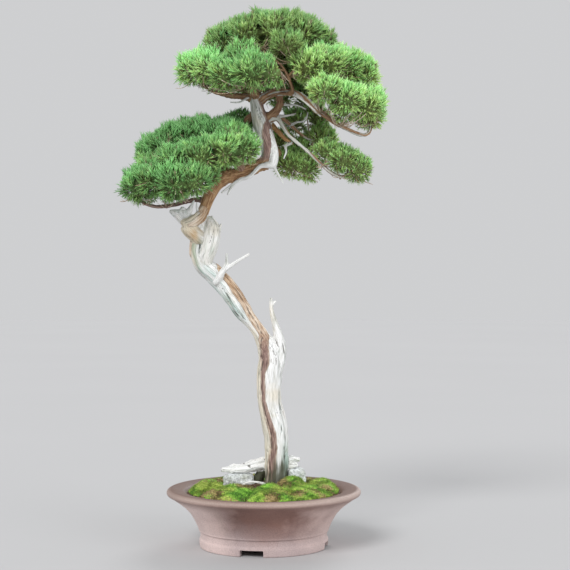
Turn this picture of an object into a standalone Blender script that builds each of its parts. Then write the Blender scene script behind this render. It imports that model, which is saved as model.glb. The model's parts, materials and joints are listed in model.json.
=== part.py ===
"""Itoigawa juniper bonsai, literati style, in a round unglazed pot.

Lengths in the tables are millimetres, with x to the right, y away from the front and z up from
the surface that the pot stands on, measured from the pot's own axis. The last step moves the
whole model so that the frame's origin is the middle of its box, at the base.
"""

import math
import random

import bmesh
import bpy
from mathutils import Matrix, Vector, geometry, noise
from mathutils.bvhtree import BVHTree

MM = 0.001
CLEARANCE = 0.3
SHARP = math.radians(32)
SEED = 20

# The pot, as radii and heights of its turned outline.
TURN_SIDES = 30
RIM_RADIUS = 151.0
RIM_TOP = 90.5
MOUTH_RADIUS = 122.0
MOUTH_HEIGHT = 86.5
FLOOR_TOP = 20.0
FOOT_RECESS = 12.0
FOOT_RADIUS = 100.0
FOOT_WIDTH = 15.0
NOTCH_WIDTH = 36.0
NOTCH_HEIGHT = 10.5
NOTCH_COUNT = 4
NOTCH_TURN = math.radians(-10)
DRAIN_RADIUS = 13.0
DRAIN_SIDES = 16
SCREEN_RADIUS = 20.0
SCREEN_THICKNESS = 1.2
SCREEN_BAR = 3.0
SCREEN_PITCH = 10.0

POT_OUTSIDE = [
    (FOOT_RADIUS, 0.0), (100.8, 12.0), (98.6, 14.8), (99.2, 24.6), (101.6, 25.6), (101.8, 28.6),
    (107.5, 41.0), (114.5, 53.0), (124.0, 63.0), (135.0, 71.5), (145.0, 78.5), (150.0, 81.0),
    (RIM_RADIUS, 85.5), (146.0, RIM_TOP),
]
POT_INSIDE = [
    (MOUTH_RADIUS, MOUTH_HEIGHT), (116.0, 78.0), (104.0, 54.0), (93.0, 33.0), (86.0, FLOOR_TOP),
]

# The soil fills the pot and rises in a low rounded mound towards the trunk.
SOIL_TOP = 84.0
SOIL_RISE = 12.5
SOIL_REACH = 119.0
SOIL_RINGS = [96.0, 72.0, 48.0, 24.0]
WALL_GAP = 0.6
# How far the soil, the stones, the moss and the foliage stay off the limbs that pass through them.
SEAT_GAP = 0.5
LIMB_GAP = 0.6

# Moss cushions: (name, from angle, to angle, from radius, to radius, height). The angles are in
# degrees from the right.
MOSS = [
    ("moss_front_left", 212, 257, 47, 117.5, 8),
    ("moss_front", 257, 297, 46, 118, 9),
    ("moss_front_right", 297, 339, 67, 117.5, 8),
    ("moss_trunk_foot", 300, 384, 31, 66.5, 12),
    ("moss_right", -21, 37, 67, 117, 8.5),
    ("moss_back", 37, 120, 52, 117, 7),
    ("moss_left_back", 120, 177, 66, 117, 7),
    ("moss_left", 177, 212, 66, 117, 8),
]
MOSS_RUN = 4
MOSS_STEP = 13.0
MOSS_SEAM = 0.3
MOSS_PINCH = 0.1
MOSS_EDGE = 2.0
MOSS_LIFT = 0.4
MOSS_PILLOW = 0.35
MOSS_LOBES = 0.6
MOSS_GRAIN = 0.045

# Stones beside the trunk's foot: (name, centre, half sizes, seed). They are boxy and weathered.
STONES = [
    ("stone_left", (-40, 9, 98), (26.5, 14, 14), 3),
    ("stone_right", (50, 8, 105), (16, 12, 16), 8),
]
STONE_BOXY = 0.55
STONE_ROUGH = 0.16
STONE_GRAIN = 1.7

# Stations of the trunk's one long line: (x, y, z, radius).
TRUNK = [
    (14, 2, 48, 23), (15, 2, 62, 31), (16, 2, 78, 26), (18, 0, 96, 18.6), (19.5, 0, 112, 17.4),
    (20, 0, 128, 18), (20, 0, 146, 18.2), (19.5, -1, 168, 19), (16, -2, 193, 20), (10, -3, 219, 19),
    (8, -4, 247, 19), (9, -4, 270, 20), (10, -3, 291, 19), (3, -2, 315, 14.2), (-8, 0, 335, 11),
    (-18, 1, 349, 10.8), (-30, 2, 363, 13.4), (-46, 4, 386, 15), (-62, 6, 407, 15.6),
    (-78, 7, 423, 14.8), (-94, 8, 438, 15), (-100, 8, 456, 15.5), (-98, 6, 473, 16.5),
    (-99, 4, 489, 14), (-100, 2, 503, 10.5), (-96, 0, 518, 8.4), (-90, -2, 533, 8.2),
    (-84, -3, 548, 9.4), (-75, -4, 563, 10), (-64, -4, 574, 11.5), (-45, -2, 580, 9.5),
    (-26, 0, 586, 9), (-9, 2, 593, 9.5), (4, 2, 603, 11), (8, 1, 619, 12), (2.5, 0, 639, 13),
    (-4, -2, 659, 12.8), (-10, -3, 679, 10.4), (-13.5, -4, 698, 8.6), (-13.5, -4, 713, 8),
    (-9, -5, 729, 7.4), (-2, -6, 748, 6.4), (6, -6, 772, 4.5),
]

# Dead wood that stands out of the trunk, bleached like the trunk's stripped side.
JINS = [
    [(12, -1, 250, 12), (17, -2, 274, 14.5), (22, -3, 292, 13.5), (25, -3, 308, 10.5),
     (23.5, -4, 325, 8.4), (18.5, -5, 343, 5.6), (14.5, -5, 357, 4), (12, -5, 369, 2.8),
     (11.5, -5, 386, 2.1)],
    [(12, -5, 374, 2.4), (19, -5, 382, 0.9)],
    [(-78, -6, 408, 3.2), (-71, -9, 416, 4.8), (-65, -11, 426, 5.4), (-60, -13, 435, 4.2),
     (-57.5, -14, 444, 2.8), (-57.5, -14, 456, 1.3)],
    [(-63, -11, 428, 4.6), (-51, -15, 437, 3.2), (-37, -17, 446, 2.6), (-22, -18, 455, 1.6)],
    [(-97, 0, 478, 13), (-108, -4, 487, 13), (-117, -8, 495, 12), (-122, -10, 501, 9.5)],
    [(-123, -10, 501, 8.6), (-114, -13, 504, 8.6), (-105, -10, 510, 8.6), (-98, -4, 518, 7.6)],
    [(-110, 0, 495, 10), (-123, -1, 507, 9.5), (-133, -2, 516.5, 8.8), (-140, -3, 520, 5.8),
     (-147, -3, 522.5, 2.5)],
    [(-112, -2, 496, 10), (-121, -3, 511, 9.5), (-126, -4, 520, 7), (-126, -4, 529, 3)],
    [(-110, -3, 496, 9), (-118, -5, 513, 6.8), (-114.5, -6, 526, 4.2), (-108.5, -7, 539, 1)],
    [(-101, -7, 517, 3.8), (-104, -8, 527, 2.2), (-104.5, -8, 536, 0.8)],
    [(-92, 2, 448, 12), (-86, 0, 466, 15), (-82, -1, 482, 15), (-80.5, -1, 496, 13),
     (-83, -1, 506, 8.5), (-86, -1, 514, 3.5)],
    [(-76, -2, 485, 7), (-70, -3, 495, 4.4), (-66, -3, 503, 1)],
    [(-80, -2, 499, 6.5), (-81, -3, 515, 1.1)],
    [(7, -8, 650, 2.6), (14, -8, 633, 3.8), (16.5, -7, 615, 6.4), (16, -8, 602, 6.8),
     (13, -9, 593, 6), (4, -11, 593, 4.4), (-6, -12, 591, 3.6), (-14, -12, 583, 3.3),
     (-24, -13, 574, 3.1), (-36, -13, 571, 2.7), (-47, -13, 564, 2.3), (-66, -13, 550, 0.9)],
    [(-45, -13, 565, 2.2), (-51, -14, 557, 1.6), (-56, -14, 547, 0.9)],
    [(15, -7, 594, 3.6), (22, -9, 580, 2.2), (31, -10, 564, 1)],
    [(43, 4, 629, 2.4), (34, 1, 624, 2.2), (35, -1, 615, 1.8), (31, -2, 604, 0.9)],
    [(46, -28, 702, 3.4), (60, -38, 691, 1.7), (73, -43, 679, 1.7), (88, -46, 665, 1.5)],
    [(24, -7, 688, 3), (38, -6, 687.5, 1.6), (52, -6, 687, 1.3), (66, -4, 681, 0.9)],
    [(20, 4, 672, 3.4), (34, 6, 672, 2), (50, 8, 676, 1)],
    [(42, 18, 659, 2.6), (52, 14, 663, 1.6), (61, 12, 664, 1.3), (67, 10, 670, 1.2), (69, 9, 678, 0.9)],
    [(-14, -6, 703, 3), (-27, -10, 697, 1.8), (-38, -12, 691, 1.3), (-52, -12, 691, 0.9)],
]

# Old dead roots over the stones, and one thin live root that loops out of the soil.
ROOTS = [
    [(16, 12, 134, 9), (-2, 13, 131, 8.5), (-20, 13, 126, 8), (-36, 12, 119.5, 7.5),
     (-52, 10, 117, 6.5), (-67, 9, 118, 4.6)],
    [(10, 8, 126, 8), (-8, 9, 122.5, 8), (-22, 9, 119, 7.5), (-36, 8, 117, 7), (-51, 8, 116, 5)],
    [(-34, 12, 120, 6), (-45, 11, 123, 5.6), (-54, 10, 121, 3)],
    [(20, 8, 130, 11), (34, 9, 132, 9), (45, 8, 134, 7.5), (56.5, 7, 133.5, 3)],
    [(22, 6, 121, 10), (36, 6, 123, 8), (46, 5, 124, 6.5), (53, 5, 125, 4)],
    [(12, 14, 120, 11), (-2, 16, 112, 9.5), (-9, 15, 101, 9), (-12, 14, 84, 8)],
    [(14, -14, 90, 4), (6, -20, 96, 3), (-4, -24, 101, 2.3), (-14, -25, 103, 2), (-25, -26, 102, 1.9),
     (-34, -27, 97, 1.8), (-43, -28, 82, 1.5)],
]

# Live branches. The last station of each lies inside the foliage that it carries.
BRANCHES = [
    [(-88, 0, 537, 6.5), (-105, 8, 541, 4), (-128, 10, 536, 3.4), (-150, 6, 531, 3.1),
     (-172, 0, 530, 2.8), (-190, -10, 537, 2.5), (-200, -20, 551, 2.2)],
    [(-66, -4, 573, 8), (-84, -16, 582, 6), (-108, -34, 583, 5), (-150, -40, 585, 3.4)],
    [(-60, -2, 577, 8), (-76, 10, 596, 6), (-103, 14, 613, 5), (-160, 18, 612, 3.2)],
    [(-32, 0, 585, 7), (-46, -24, 602, 4.6), (-62, -42, 611, 3)],
    [(-50, -1, 579, 7), (-62, 32, 592, 5.5), (-82, 82, 612, 3.4)],
    [(2, 0, 664, 8), (20, -6, 666, 4.4), (31, -10, 652, 3.4), (38, -13, 641, 3.1), (52, -15, 628, 3),
     (71, -16, 612, 3), (89, -15, 595, 2.9), (104, -13, 582, 2.7), (121, -10, 575, 2.4),
     (140, -8, 581, 1.9)],
    [(0, 2, 672, 7), (24, 10, 670, 4), (42, 20, 659, 3.6), (61, 32, 644, 2.8), (78, 48, 637, 2.4)],
    [(8, 2, 638, 8), (20, 24, 620, 4.6), (42, 44, 602, 3)],
    [(-9, -3, 694, 8), (14, -12, 706, 6.4), (36, -22, 705, 5.6), (50, -29, 702, 5), (64, -36, 694, 4.5),
     (82, -42, 677, 4.2), (102, -47, 660, 3.9), (126, -48, 646, 3.5), (149, -42, 637, 3.2),
     (162, -36, 641, 2.8), (166, -30, 657, 2.4)],
    [(-4, 0, 660, 8), (11, -4, 671, 6.6), (21, -7, 680, 5.6), (25.5, -8, 692, 5), (23, -8, 704, 4.8),
     (20, -6, 716, 4.6), (34, -8, 730, 4.4), (64, -14, 739, 4), (104, -30, 742, 3)],
    [(-13, -4, 698, 7.5), (-34, -5, 701, 5), (-62, -6, 704, 4.2), (-88, -8, 715, 3.6), (-106, -8, 734, 3)],
    [(-13, -6, 702, 6.5), (-18, -48, 704, 4.4), (-22, -82, 714, 3)],
    [(-11, -3, 712, 7), (-4, 48, 726, 5), (2, 96, 740, 3)],
    [(-9, -6, 729, 6), (-30, -10, 752, 4.6), (-56, -16, 776, 3)],
    [(-1, -6, 752, 5.6), (26, -8, 773, 4.6), (58, -12, 788, 3)],
    [(4, 4, 664, 6.5), (14, 8, 655, 4.4), (22, 9, 648, 3.8), (32, 7, 637, 3.2), (46, 4, 628, 1.6)],
    [(-8, 3, 678, 7), (-23, 12, 669, 5.2), (-36, 24, 654, 4.8), (-50, 36, 630, 3.6)],
]
TREE_TRIANGLES = 3300
TRUNK_SIDES = 11
TRUNK_STEP = 17
TRUNK_FLUTES = 3
FLUTE_DEPTH = 0.06
# The live vein: the angle where it starts, how far it winds, its half width and how far it stands out.
VEIN_START = -2.0
VEIN_WIND = 2.2
VEIN_WIDTH = 0.55
VEIN_RISE = 0.1
JIN_SIDES = 6
JIN_STEP = 20
ROOT_SIDES = 7
ROOT_FLAT = 0.75
THIN_LEAST = 0.6
BRANCH_SIDES = 5
BRANCH_STEP = 40

# Foliage: each head's tufts as (x, y, z, outer radius). A tuft is flatter than it is wide.
TUFT_FLAT = 0.88
CORE_SHARE = 0.76
CORE_ROUGH = 0.12
CORE_GRAIN = 2.3
CORE_CELL = 6.0
CORE_TRIANGLES = 44
HEAD_GAP = 1.2
FOLIAGE = {
    "foliage_apex": [
        (-62, -20, 778, 40), (-25, -40, 792, 42), (18, -45, 798, 42), (60, -32, 794, 40),
        (86, -8, 780, 36), (-40, 15, 795, 40), (4, 5, 804, 42), (48, 6, 801, 42),
        (-15, 50, 792, 40), (30, 50, 794, 40), (68, 40, 785, 38), (36, -74, 768, 32),
    ],
    "foliage_crown_left": [
        (-106, -5, 744, 38), (-80, -42, 740, 36), (-92, 32, 756, 38), (-58, 56, 756, 38),
    ],
    "foliage_crown_front": [
        (-55, -66, 724, 36), (-18, -86, 728, 38), (18, -78, 724, 34), (-32, -66, 754, 30),
    ],
    "foliage_crown_right": [
        (66, -60, 740, 36), (98, -50, 746, 38), (128, -20, 746, 38), (112, 22, 758, 38),
        (152, 8, 735, 38),
    ],
    "foliage_crown_low_right": [
        (94, -84, 700, 32), (126, -72, 688, 34), (158, -46, 682, 36), (164, -8, 694, 34),
        (162, -26, 666, 29), (122, -56, 672, 26),
    ],
    "foliage_crown_back": [
        (-75, 88, 742, 32), (-35, 94, 746, 38), (5, 100, 750, 40), (46, 94, 750, 40),
        (86, 80, 744, 38), (120, 58, 726, 36), (26, 80, 714, 32), (66, 72, 712, 32),
    ],
    "foliage_left_upper": [
        (-174, 10, 608, 38), (-150, -8, 624, 40), (-117, 0, 638, 42), (-80, 6, 640, 42),
        (-46, 12, 640, 38), (-150, 42, 614, 38), (-112, 48, 628, 40), (-72, 50, 632, 36),
    ],
    "foliage_left_lower": [
        (-194, -26, 560, 36), (-168, -44, 568, 38), (-135, -62, 561, 38), (-106, -68, 565, 35),
        (-168, -18, 588, 34), (-132, -46, 596, 38), (-96, -52, 603, 38), (-86, -46, 574, 26),
    ],
    "foliage_left_inner": [
        (-60, -50, 612, 36), (-30, -42, 615, 33), (-44, -26, 634, 32),
    ],
    "foliage_left_back": [
        (-124, 86, 600, 36), (-86, 94, 612, 38), (-50, 86, 630, 36), (-40, 64, 668, 32),
    ],
    "foliage_under": [
        (40, 46, 600, 32), (66, 40, 593, 30), (60, 64, 622, 34), (92, 56, 640, 32),
        (24, 64, 640, 26), (50, 74, 671, 28), (86, 78, 676, 28),
    ],
    "foliage_right": [
        (98, -6, 614, 28), (122, -16, 602, 30), (146, -8, 588, 31), (128, 16, 604, 28),
    ],
}
LINK_RADIUS = 7.0
LINK_SIDES = 5

SPRAY_LENGTH = (11.0, 17.0)
SPRAY_RISE = 0.55
SPRAY_LEAN = 0.25
SPRAY_SHRINK = 0.75
SPRAY_TRIES = 5
SPRAY_LEAST = 3.5
SPRAY_CLEAR = 0.5
SPRAY_OPENING = math.radians(12)
FACE_LEAST = 2.2


def finish(name, colour, roughness):
    """A plain Principled material."""
    material = bpy.data.materials.new(name)
    material.use_nodes = True
    shader = material.node_tree.nodes["Principled BSDF"]
    shader.inputs["Base Color"].default_value = (*colour, 1.0)
    shader.inputs["Roughness"].default_value = roughness
    shader.inputs["Metallic"].default_value = 0.0
    material.diffuse_color = (*colour, 1.0)
    return material


def add_object(name, bm, material=None):
    """A new object from a bmesh whose coordinates are millimetres."""
    bmesh.ops.transform(bm, matrix=Matrix.Scale(MM, 4), verts=bm.verts)
    bmesh.ops.recalc_face_normals(bm, faces=bm.faces)
    mesh = bpy.data.meshes.new(name)
    bm.to_mesh(mesh)
    bm.free()
    obj = bpy.data.objects.new(name, mesh)
    bpy.context.scene.collection.objects.link(obj)
    if material:
        mesh.materials.append(material)
    return obj


def combine(target, others, operation):
    """Applies one Boolean of target with all the others, then removes the others."""
    if not others:
        return
    group = bpy.data.collections.new("operands")
    for other in others:
        group.objects.link(other)
    modifier = target.modifiers.new("join", "BOOLEAN")
    modifier.operation = operation
    modifier.operand_type = "COLLECTION"
    modifier.collection = group
    modifier.solver = "MANIFOLD"
    target.data = evaluated(target)
    target.modifiers.clear()
    for other in others:
        bpy.data.objects.remove(other)
    bpy.data.collections.remove(group)


def evaluated(obj):
    """The object's mesh with its modifiers applied."""
    graph = bpy.context.evaluated_depsgraph_get()
    return bpy.data.meshes.new_from_object(obj.evaluated_get(graph))


def thin_out(obj, triangles):
    """Collapses the edges that matter least until about that many triangles are left."""
    thin = obj.modifiers.new("fewer faces", "DECIMATE")
    thin.ratio = triangles / sum(len(face.vertices) - 2 for face in obj.data.polygons)
    obj.data = evaluated(obj)
    obj.modifiers.clear()


def keep_largest_body(obj):
    """Drops the loose scraps that a cut leaves, and keeps the body with the most vertices."""
    bm = bmesh.new()
    bm.from_mesh(obj.data)
    bodies = []
    left = set(bm.verts)
    while left:
        body = set()
        edge_of_body = [next(iter(left))]
        while edge_of_body:
            vert = edge_of_body.pop()
            if vert in body:
                continue
            body.add(vert)
            edge_of_body.extend(edge.other_vert(vert) for edge in vert.link_edges)
        bodies.append(body)
        left -= body
    bodies.sort(key=len)
    for scrap in bodies[:-1]:
        bmesh.ops.delete(bm, geom=list(scrap), context="VERTS")
    bm.to_mesh(obj.data)
    bm.free()


def smooth_line(stations, step):
    """Points about a step apart on a Catmull-Rom curve through the stations, radius included."""
    rows = [Vector(station) for station in stations]
    rows = [rows[0] * 2 - rows[1], *rows, rows[-1] * 2 - rows[-2]]
    points = []
    for before, start, end, after in zip(rows, rows[1:], rows[2:], rows[3:], strict=False):
        count = max(1, round((end.xyz - start.xyz).length / step))
        for k in range(count):
            t = k / count
            line = 2 * start + (end - before) * t
            bend = (2 * before - 5 * start + 4 * end - after) * t**2
            twist = (3 * start - before - 3 * end + after) * t**3
            points.append(0.5 * (line + bend + twist))
    points.append(rows[-2])
    return points


def round_section(_angle, _share):
    return 1.0


def trunk_section(angle, share):
    """The trunk is fluted, and its live vein stands out as a broad rib that winds round it."""
    turn = angle - VEIN_WIND * share
    off_vein = (turn - VEIN_START + math.pi) % math.tau - math.pi
    rib = math.exp(-((off_vein / VEIN_WIDTH) ** 2))
    return 1 + FLUTE_DEPTH * math.cos(TRUNK_FLUTES * turn) + VEIN_RISE * rib


def tube(stations, sides, step, grow=0.0, section=round_section, flat=1.0):
    """A closed tube through the stations, thicker all over by grow and thinned up and down by flat."""
    points = smooth_line(stations, step)
    bm = bmesh.new()
    across = Vector((1, 0, 0))
    rings = []
    for k, point in enumerate(points):
        ahead = points[min(k + 1, len(points) - 1)].xyz - points[max(k - 1, 0)].xyz
        ahead.normalize()
        across = (across - across.dot(ahead) * ahead).normalized()
        side = ahead.cross(across)
        share = k / (len(points) - 1)
        centre = point.xyz
        if k in (0, len(points) - 1):
            centre = centre + ahead * (grow if k else -grow)
        ring = []
        for n in range(sides):
            angle = math.tau * n / sides
            radius = max(point.w, THIN_LEAST) * section(angle, share) + grow
            offset = (across * math.cos(angle) + side * math.sin(angle)) * radius
            offset.z *= flat
            ring.append(bm.verts.new(centre + offset))
        rings.append(ring)
    for low, high in zip(rings, rings[1:], strict=False):
        for n in range(sides):
            bm.faces.new((low[n - 1], low[n], high[n], high[n - 1]))
    bm.faces.new(rings[0])
    bm.faces.new(rings[-1])
    bmesh.ops.triangulate(bm, faces=bm.faces)
    return bm


def turned(outline, sides=TURN_SIDES):
    """A solid of revolution about z. The outline's two ends lie on the axis."""
    bm = bmesh.new()
    angles = [math.tau * n / sides for n in range(sides)]
    rings = []
    for radius, height in outline:
        spokes = angles if radius else [0.0]
        rings.append([
            bm.verts.new((radius * math.cos(angle), radius * math.sin(angle), height))
            for angle in spokes
        ])
    for low, high in zip(rings, rings[1:], strict=False):
        for n in range(sides):
            if len(low) == 1:
                bm.faces.new((low[0], high[n], high[n - 1]))
            elif len(high) == 1:
                bm.faces.new((low[n - 1], low[n], high[0]))
            else:
                bm.faces.new((low[n - 1], low[n], high[n], high[n - 1]))
    return bm


def shade_round(obj):
    obj.data.shade_smooth()
    obj.data.set_sharp_from_angle(angle=SHARP)


def box(centre, size, turn=0.0):
    bm = bmesh.new()
    bmesh.ops.create_cube(bm, size=1.0)
    bmesh.ops.scale(bm, vec=size, verts=bm.verts)
    bmesh.ops.translate(bm, vec=centre, verts=bm.verts)
    bmesh.ops.rotate(bm, matrix=Matrix.Rotation(turn, 3, "Z"), verts=bm.verts)
    return bm


def limbs(grow=0.0):
    """Every limb of the tree as its own object, each thicker by grow."""
    made = [add_object("limb", tube(TRUNK, TRUNK_SIDES, TRUNK_STEP, grow, trunk_section))]
    for stations in JINS:
        made.append(add_object("limb", tube(stations, JIN_SIDES, JIN_STEP, grow)))
    for stations in ROOTS[:-1]:
        made.append(add_object("limb", tube(stations, ROOT_SIDES, JIN_STEP, grow, flat=ROOT_FLAT)))
    made.append(add_object("limb", tube(ROOTS[-1], BRANCH_SIDES, JIN_STEP, grow)))
    for stations in BRANCHES:
        made.append(add_object("limb", tube(stations, BRANCH_SIDES, BRANCH_STEP, grow)))
    return made


def make_tree(material):
    """Trunk, dead wood, roots and branches, grown as one piece."""
    tree, *others = limbs()
    combine(tree, others, "UNION")
    thin_out(tree, TREE_TRIANGLES)
    tree.name = tree.data.name = "trunk"
    tree.data.materials.clear()
    tree.data.materials.append(material)
    return tree


def make_pot(material):
    """A turned bowl on a foot ring with cut-outs, with one drainage hole in its floor."""
    inner = FOOT_RADIUS - FOOT_WIDTH
    outline = [(0.0, FOOT_RECESS), (inner, FOOT_RECESS), (inner, 0.0)]
    outline += POT_OUTSIDE + POT_INSIDE + [(0.0, FLOOR_TOP)]
    pot = add_object("pot", turned(outline), material)
    size = (NOTCH_WIDTH, 3 * FOOT_RADIUS, 2 * NOTCH_HEIGHT)
    cutters = []
    for k in range(NOTCH_COUNT // 2):
        # Each bar lies right across the foot, lower than its recess, and cuts two of the notches.
        turn = NOTCH_TURN + math.pi * k * 2 / NOTCH_COUNT
        cutters.append(add_object("notch", box((0, 0, 0), size, turn)))
    drain = turned([(0, 0), (DRAIN_RADIUS, 0), (DRAIN_RADIUS, RIM_TOP), (0, RIM_TOP)], DRAIN_SIDES)
    cutters.append(add_object("drain", drain))
    combine(pot, cutters, "DIFFERENCE")
    shade_round(pot)
    return pot


def make_screen(material):
    """The drainage screen that lies over the hole in the pot's floor."""
    low = FLOOR_TOP + CLEARANCE
    high = low + SCREEN_THICKNESS
    disc = turned([(0, low), (SCREEN_RADIUS, low), (SCREEN_RADIUS, high), (0, high)], DRAIN_SIDES)
    screen = add_object("drain_screen", disc, material)
    side = SCREEN_PITCH - SCREEN_BAR
    reach = SCREEN_RADIUS - side
    cells = int(SCREEN_RADIUS / SCREEN_PITCH)
    holes = []
    for i in range(-cells, cells + 1):
        for j in range(-cells, cells + 1):
            centre = Vector((i * SCREEN_PITCH, j * SCREEN_PITCH, low))
            if centre.xy.length < reach:
                holes.append(add_object("hole", box(centre, (side, side, 4 * SCREEN_THICKNESS))))
    combine(screen, holes, "DIFFERENCE")
    return screen


def soil_height(radius):
    """The height of the soil's surface at a distance from the pot's axis."""
    return SOIL_TOP + SOIL_RISE * (1 - (radius / SOIL_REACH) ** 2)


def make_soil(material):
    """The soil block, with plain sockets for the roots, the stones and the drainage screen."""
    wall = [(radius - WALL_GAP, height) for radius, height in reversed(POT_INSIDE[1:-1])]
    share = (SOIL_TOP - POT_INSIDE[1][1]) / (MOUTH_HEIGHT - POT_INSIDE[1][1])
    edge = POT_INSIDE[1][0] + share * (MOUTH_RADIUS - POT_INSIDE[1][0]) - WALL_GAP
    low = FLOOR_TOP + CLEARANCE
    mound = [(radius, soil_height(radius)) for radius in (edge, *SOIL_RINGS, 0)]
    outline = [(0, low), (POT_INSIDE[-1][0] - WALL_GAP, low), *wall, *mound]
    soil = add_object("soil", turned(outline), material)
    top = low + SCREEN_THICKNESS + CLEARANCE
    wide = SCREEN_RADIUS + SEAT_GAP
    socket = add_object("socket", turned([(0, 0), (wide, 0), (wide, top), (0, top)], DRAIN_SIDES))
    combine(soil, [socket, *limbs(SEAT_GAP), *stones(SEAT_GAP)], "DIFFERENCE")
    keep_largest_body(soil)
    return soil


def stones(grow=0.0):
    """Rough weathered blocks, flat on top where the dead roots lie on them."""
    made = []
    for name, centre, size, seed in STONES:
        bm = bmesh.new()
        bmesh.ops.create_icosphere(bm, subdivisions=2, radius=1.0)
        for vert in bm.verts:
            boxy = Vector([math.copysign(abs(c) ** STONE_BOXY, c) for c in vert.co])
            rough = 1 + STONE_ROUGH * noise.noise(vert.co * STONE_GRAIN + Vector((seed, 0, 0)))
            vert.co = Vector([c * rough * (s + grow) for c, s in zip(boxy, size, strict=True)])
            vert.co += Vector(centre)
        made.append(add_object(name, bm))
    return made


def make_stones(material):
    """The stones, cut back where a root presses on them."""
    made = stones()
    for stone in made:
        stone.data.materials.append(material)
        combine(stone, limbs(SEAT_GAP), "DIFFERENCE")
        keep_largest_body(stone)
    return made


def make_moss(material):
    """Cushions of moss on the soil. Their tops are raised by a formula, with soft lobes."""
    made = []
    for index, (name, from_angle, to_angle, near, far, height) in enumerate(MOSS):
        mean = (near + far) / 2
        start = math.radians(from_angle + MOSS_SEAM)
        sweep = math.radians(to_angle - MOSS_SEAM) - start
        across = max(MOSS_RUN, round(sweep * mean / MOSS_STEP))
        out = max(MOSS_RUN, round((far - near) / MOSS_STEP))
        bm = bmesh.new()
        top = []
        base = []
        for i in range(across + 1):
            for j in range(out + 1):
                u = i / across
                v = j / out
                # Round the corners of the sector by pulling its ends towards the middle.
                pinch = 1 - MOSS_PINCH * (2 * u - 1) ** 4
                radius = mean + (v - 0.5) * (far - near) * pinch
                angle = start + u * sweep
                place = Vector((radius * math.cos(angle), radius * math.sin(angle), 0))
                pillow = (math.sin(math.pi * u) * math.sin(math.pi * v)) ** MOSS_PILLOW
                lobes = 1 + MOSS_LOBES * noise.noise(place * MOSS_GRAIN + Vector((0, 0, index)))
                foot = soil_height(radius) + MOSS_LIFT
                place.z = foot + MOSS_EDGE + height * pillow * lobes
                top.append(bm.verts.new(place))
                base.append(bm.verts.new((place.x, place.y, foot)))

        row = out + 1
        for corner in (i * row + j for i in range(across) for j in range(out)):
            for layer in (top, base):
                ring = (corner, corner + row, corner + row + 1, corner + 1)
                bm.faces.new([layer[index] for index in ring])
        border = [i * row for i in range(across)] + [across * row + j for j in range(out)]
        border += [i * row + out for i in range(across, 0, -1)] + list(range(out, 0, -1))
        for here, there in zip(border, border[1:] + border[:1], strict=True):
            bm.faces.new((top[here], top[there], base[there], base[here]))
        bmesh.ops.dissolve_limit(bm, angle_limit=0.001, verts=bm.verts, edges=bm.edges)
        bmesh.ops.triangulate(bm, faces=bm.faces)
        cushion = add_object(name, bm, material)
        combine(cushion, [*limbs(SEAT_GAP), *stones(SEAT_GAP)], "DIFFERENCE")
        keep_largest_body(cushion)
        made.append(cushion)
    return made


def blob(row):
    """The rough rounded mass of one tuft, inside its outer radius."""
    centre = Vector(row[:3])
    bm = bmesh.new()
    bmesh.ops.create_icosphere(bm, subdivisions=3, radius=1.0)
    for vert in bm.verts:
        rough = 1 - CORE_ROUGH / 2 + CORE_ROUGH * noise.noise(vert.co * CORE_GRAIN + centre)
        vert.co *= row[3] * CORE_SHARE * rough
        vert.co.z *= TUFT_FLAT
        vert.co += centre
    return bm


def link(start, end):
    """A short link between two tufts, so that their head is one body."""
    length = (Vector(end[:3]) - Vector(start[:3])).length
    return tube([(*start[:3], LINK_RADIUS), (*end[:3], LINK_RADIUS)], LINK_SIDES, length)


def head_core(name, rows):
    """A head's tufts grown together into one mass with few faces."""
    core = add_object(name, blob(rows[0]))
    solids = [add_object("tuft", blob(row)) for row in rows[1:]]
    for index in range(1, len(rows)):
        centre = Vector(rows[index][:3])
        nearest = min(rows[:index], key=lambda row: (Vector(row[:3]) - centre).length)
        solids.append(add_object("link", link(rows[index], nearest)))
    combine(core, solids, "UNION")
    remesh = core.modifiers.new("grow together", "REMESH")
    remesh.mode = "VOXEL"
    remesh.voxel_size = CORE_CELL * MM
    core.data = evaluated(core)
    core.modifiers.clear()
    thin_out(core, CORE_TRIANGLES * len(rows))
    return core


def inflated(obj, grow):
    """A copy of an object with every face pushed out."""
    bm = bmesh.new()
    bm.from_mesh(obj.data)
    bm.normal_update()
    for vert, normal in [(vert, vert.normal.copy()) for vert in bm.verts]:
        vert.co += normal * vert.calc_shell_factor() * grow * MM
    mesh = bpy.data.meshes.new("inflated")
    bm.to_mesh(mesh)
    bm.free()
    copy = bpy.data.objects.new("inflated", mesh)
    bpy.context.scene.collection.objects.link(copy)
    return copy


def make_cores(material):
    """Each head's core, with plain holes for the limbs and cut back from the heads before it."""
    whole = {name: head_core(name, rows) for name, rows in FOLIAGE.items()}
    cores = {}
    for name, core in whole.items():
        wider = [inflated(whole[earlier], HEAD_GAP) for earlier in cores]
        cores[name] = add_copy(core, name)
        combine(cores[name], limbs(LIMB_GAP) + wider, "DIFFERENCE")
        keep_largest_body(cores[name])
    for core in whole.values():
        bpy.data.objects.remove(core)
    for name, core in cores.items():
        core.name = core.data.name = name
        core.data.materials.clear()
        core.data.materials.append(material)
    return cores


def add_copy(obj, name):
    copy = bpy.data.objects.new(name, obj.data.copy())
    bpy.context.scene.collection.objects.link(copy)
    return copy


def tree_of(objects):
    """A search tree over the triangles of several objects, in millimetres."""
    verts = []
    faces = []
    for obj in objects:
        start = len(verts)
        verts += [vert.co / MM for vert in obj.data.vertices]
        faces += [[start + index for index in face.vertices] for face in obj.data.polygons]
    return BVHTree.FromPolygons(verts, faces)


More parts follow.
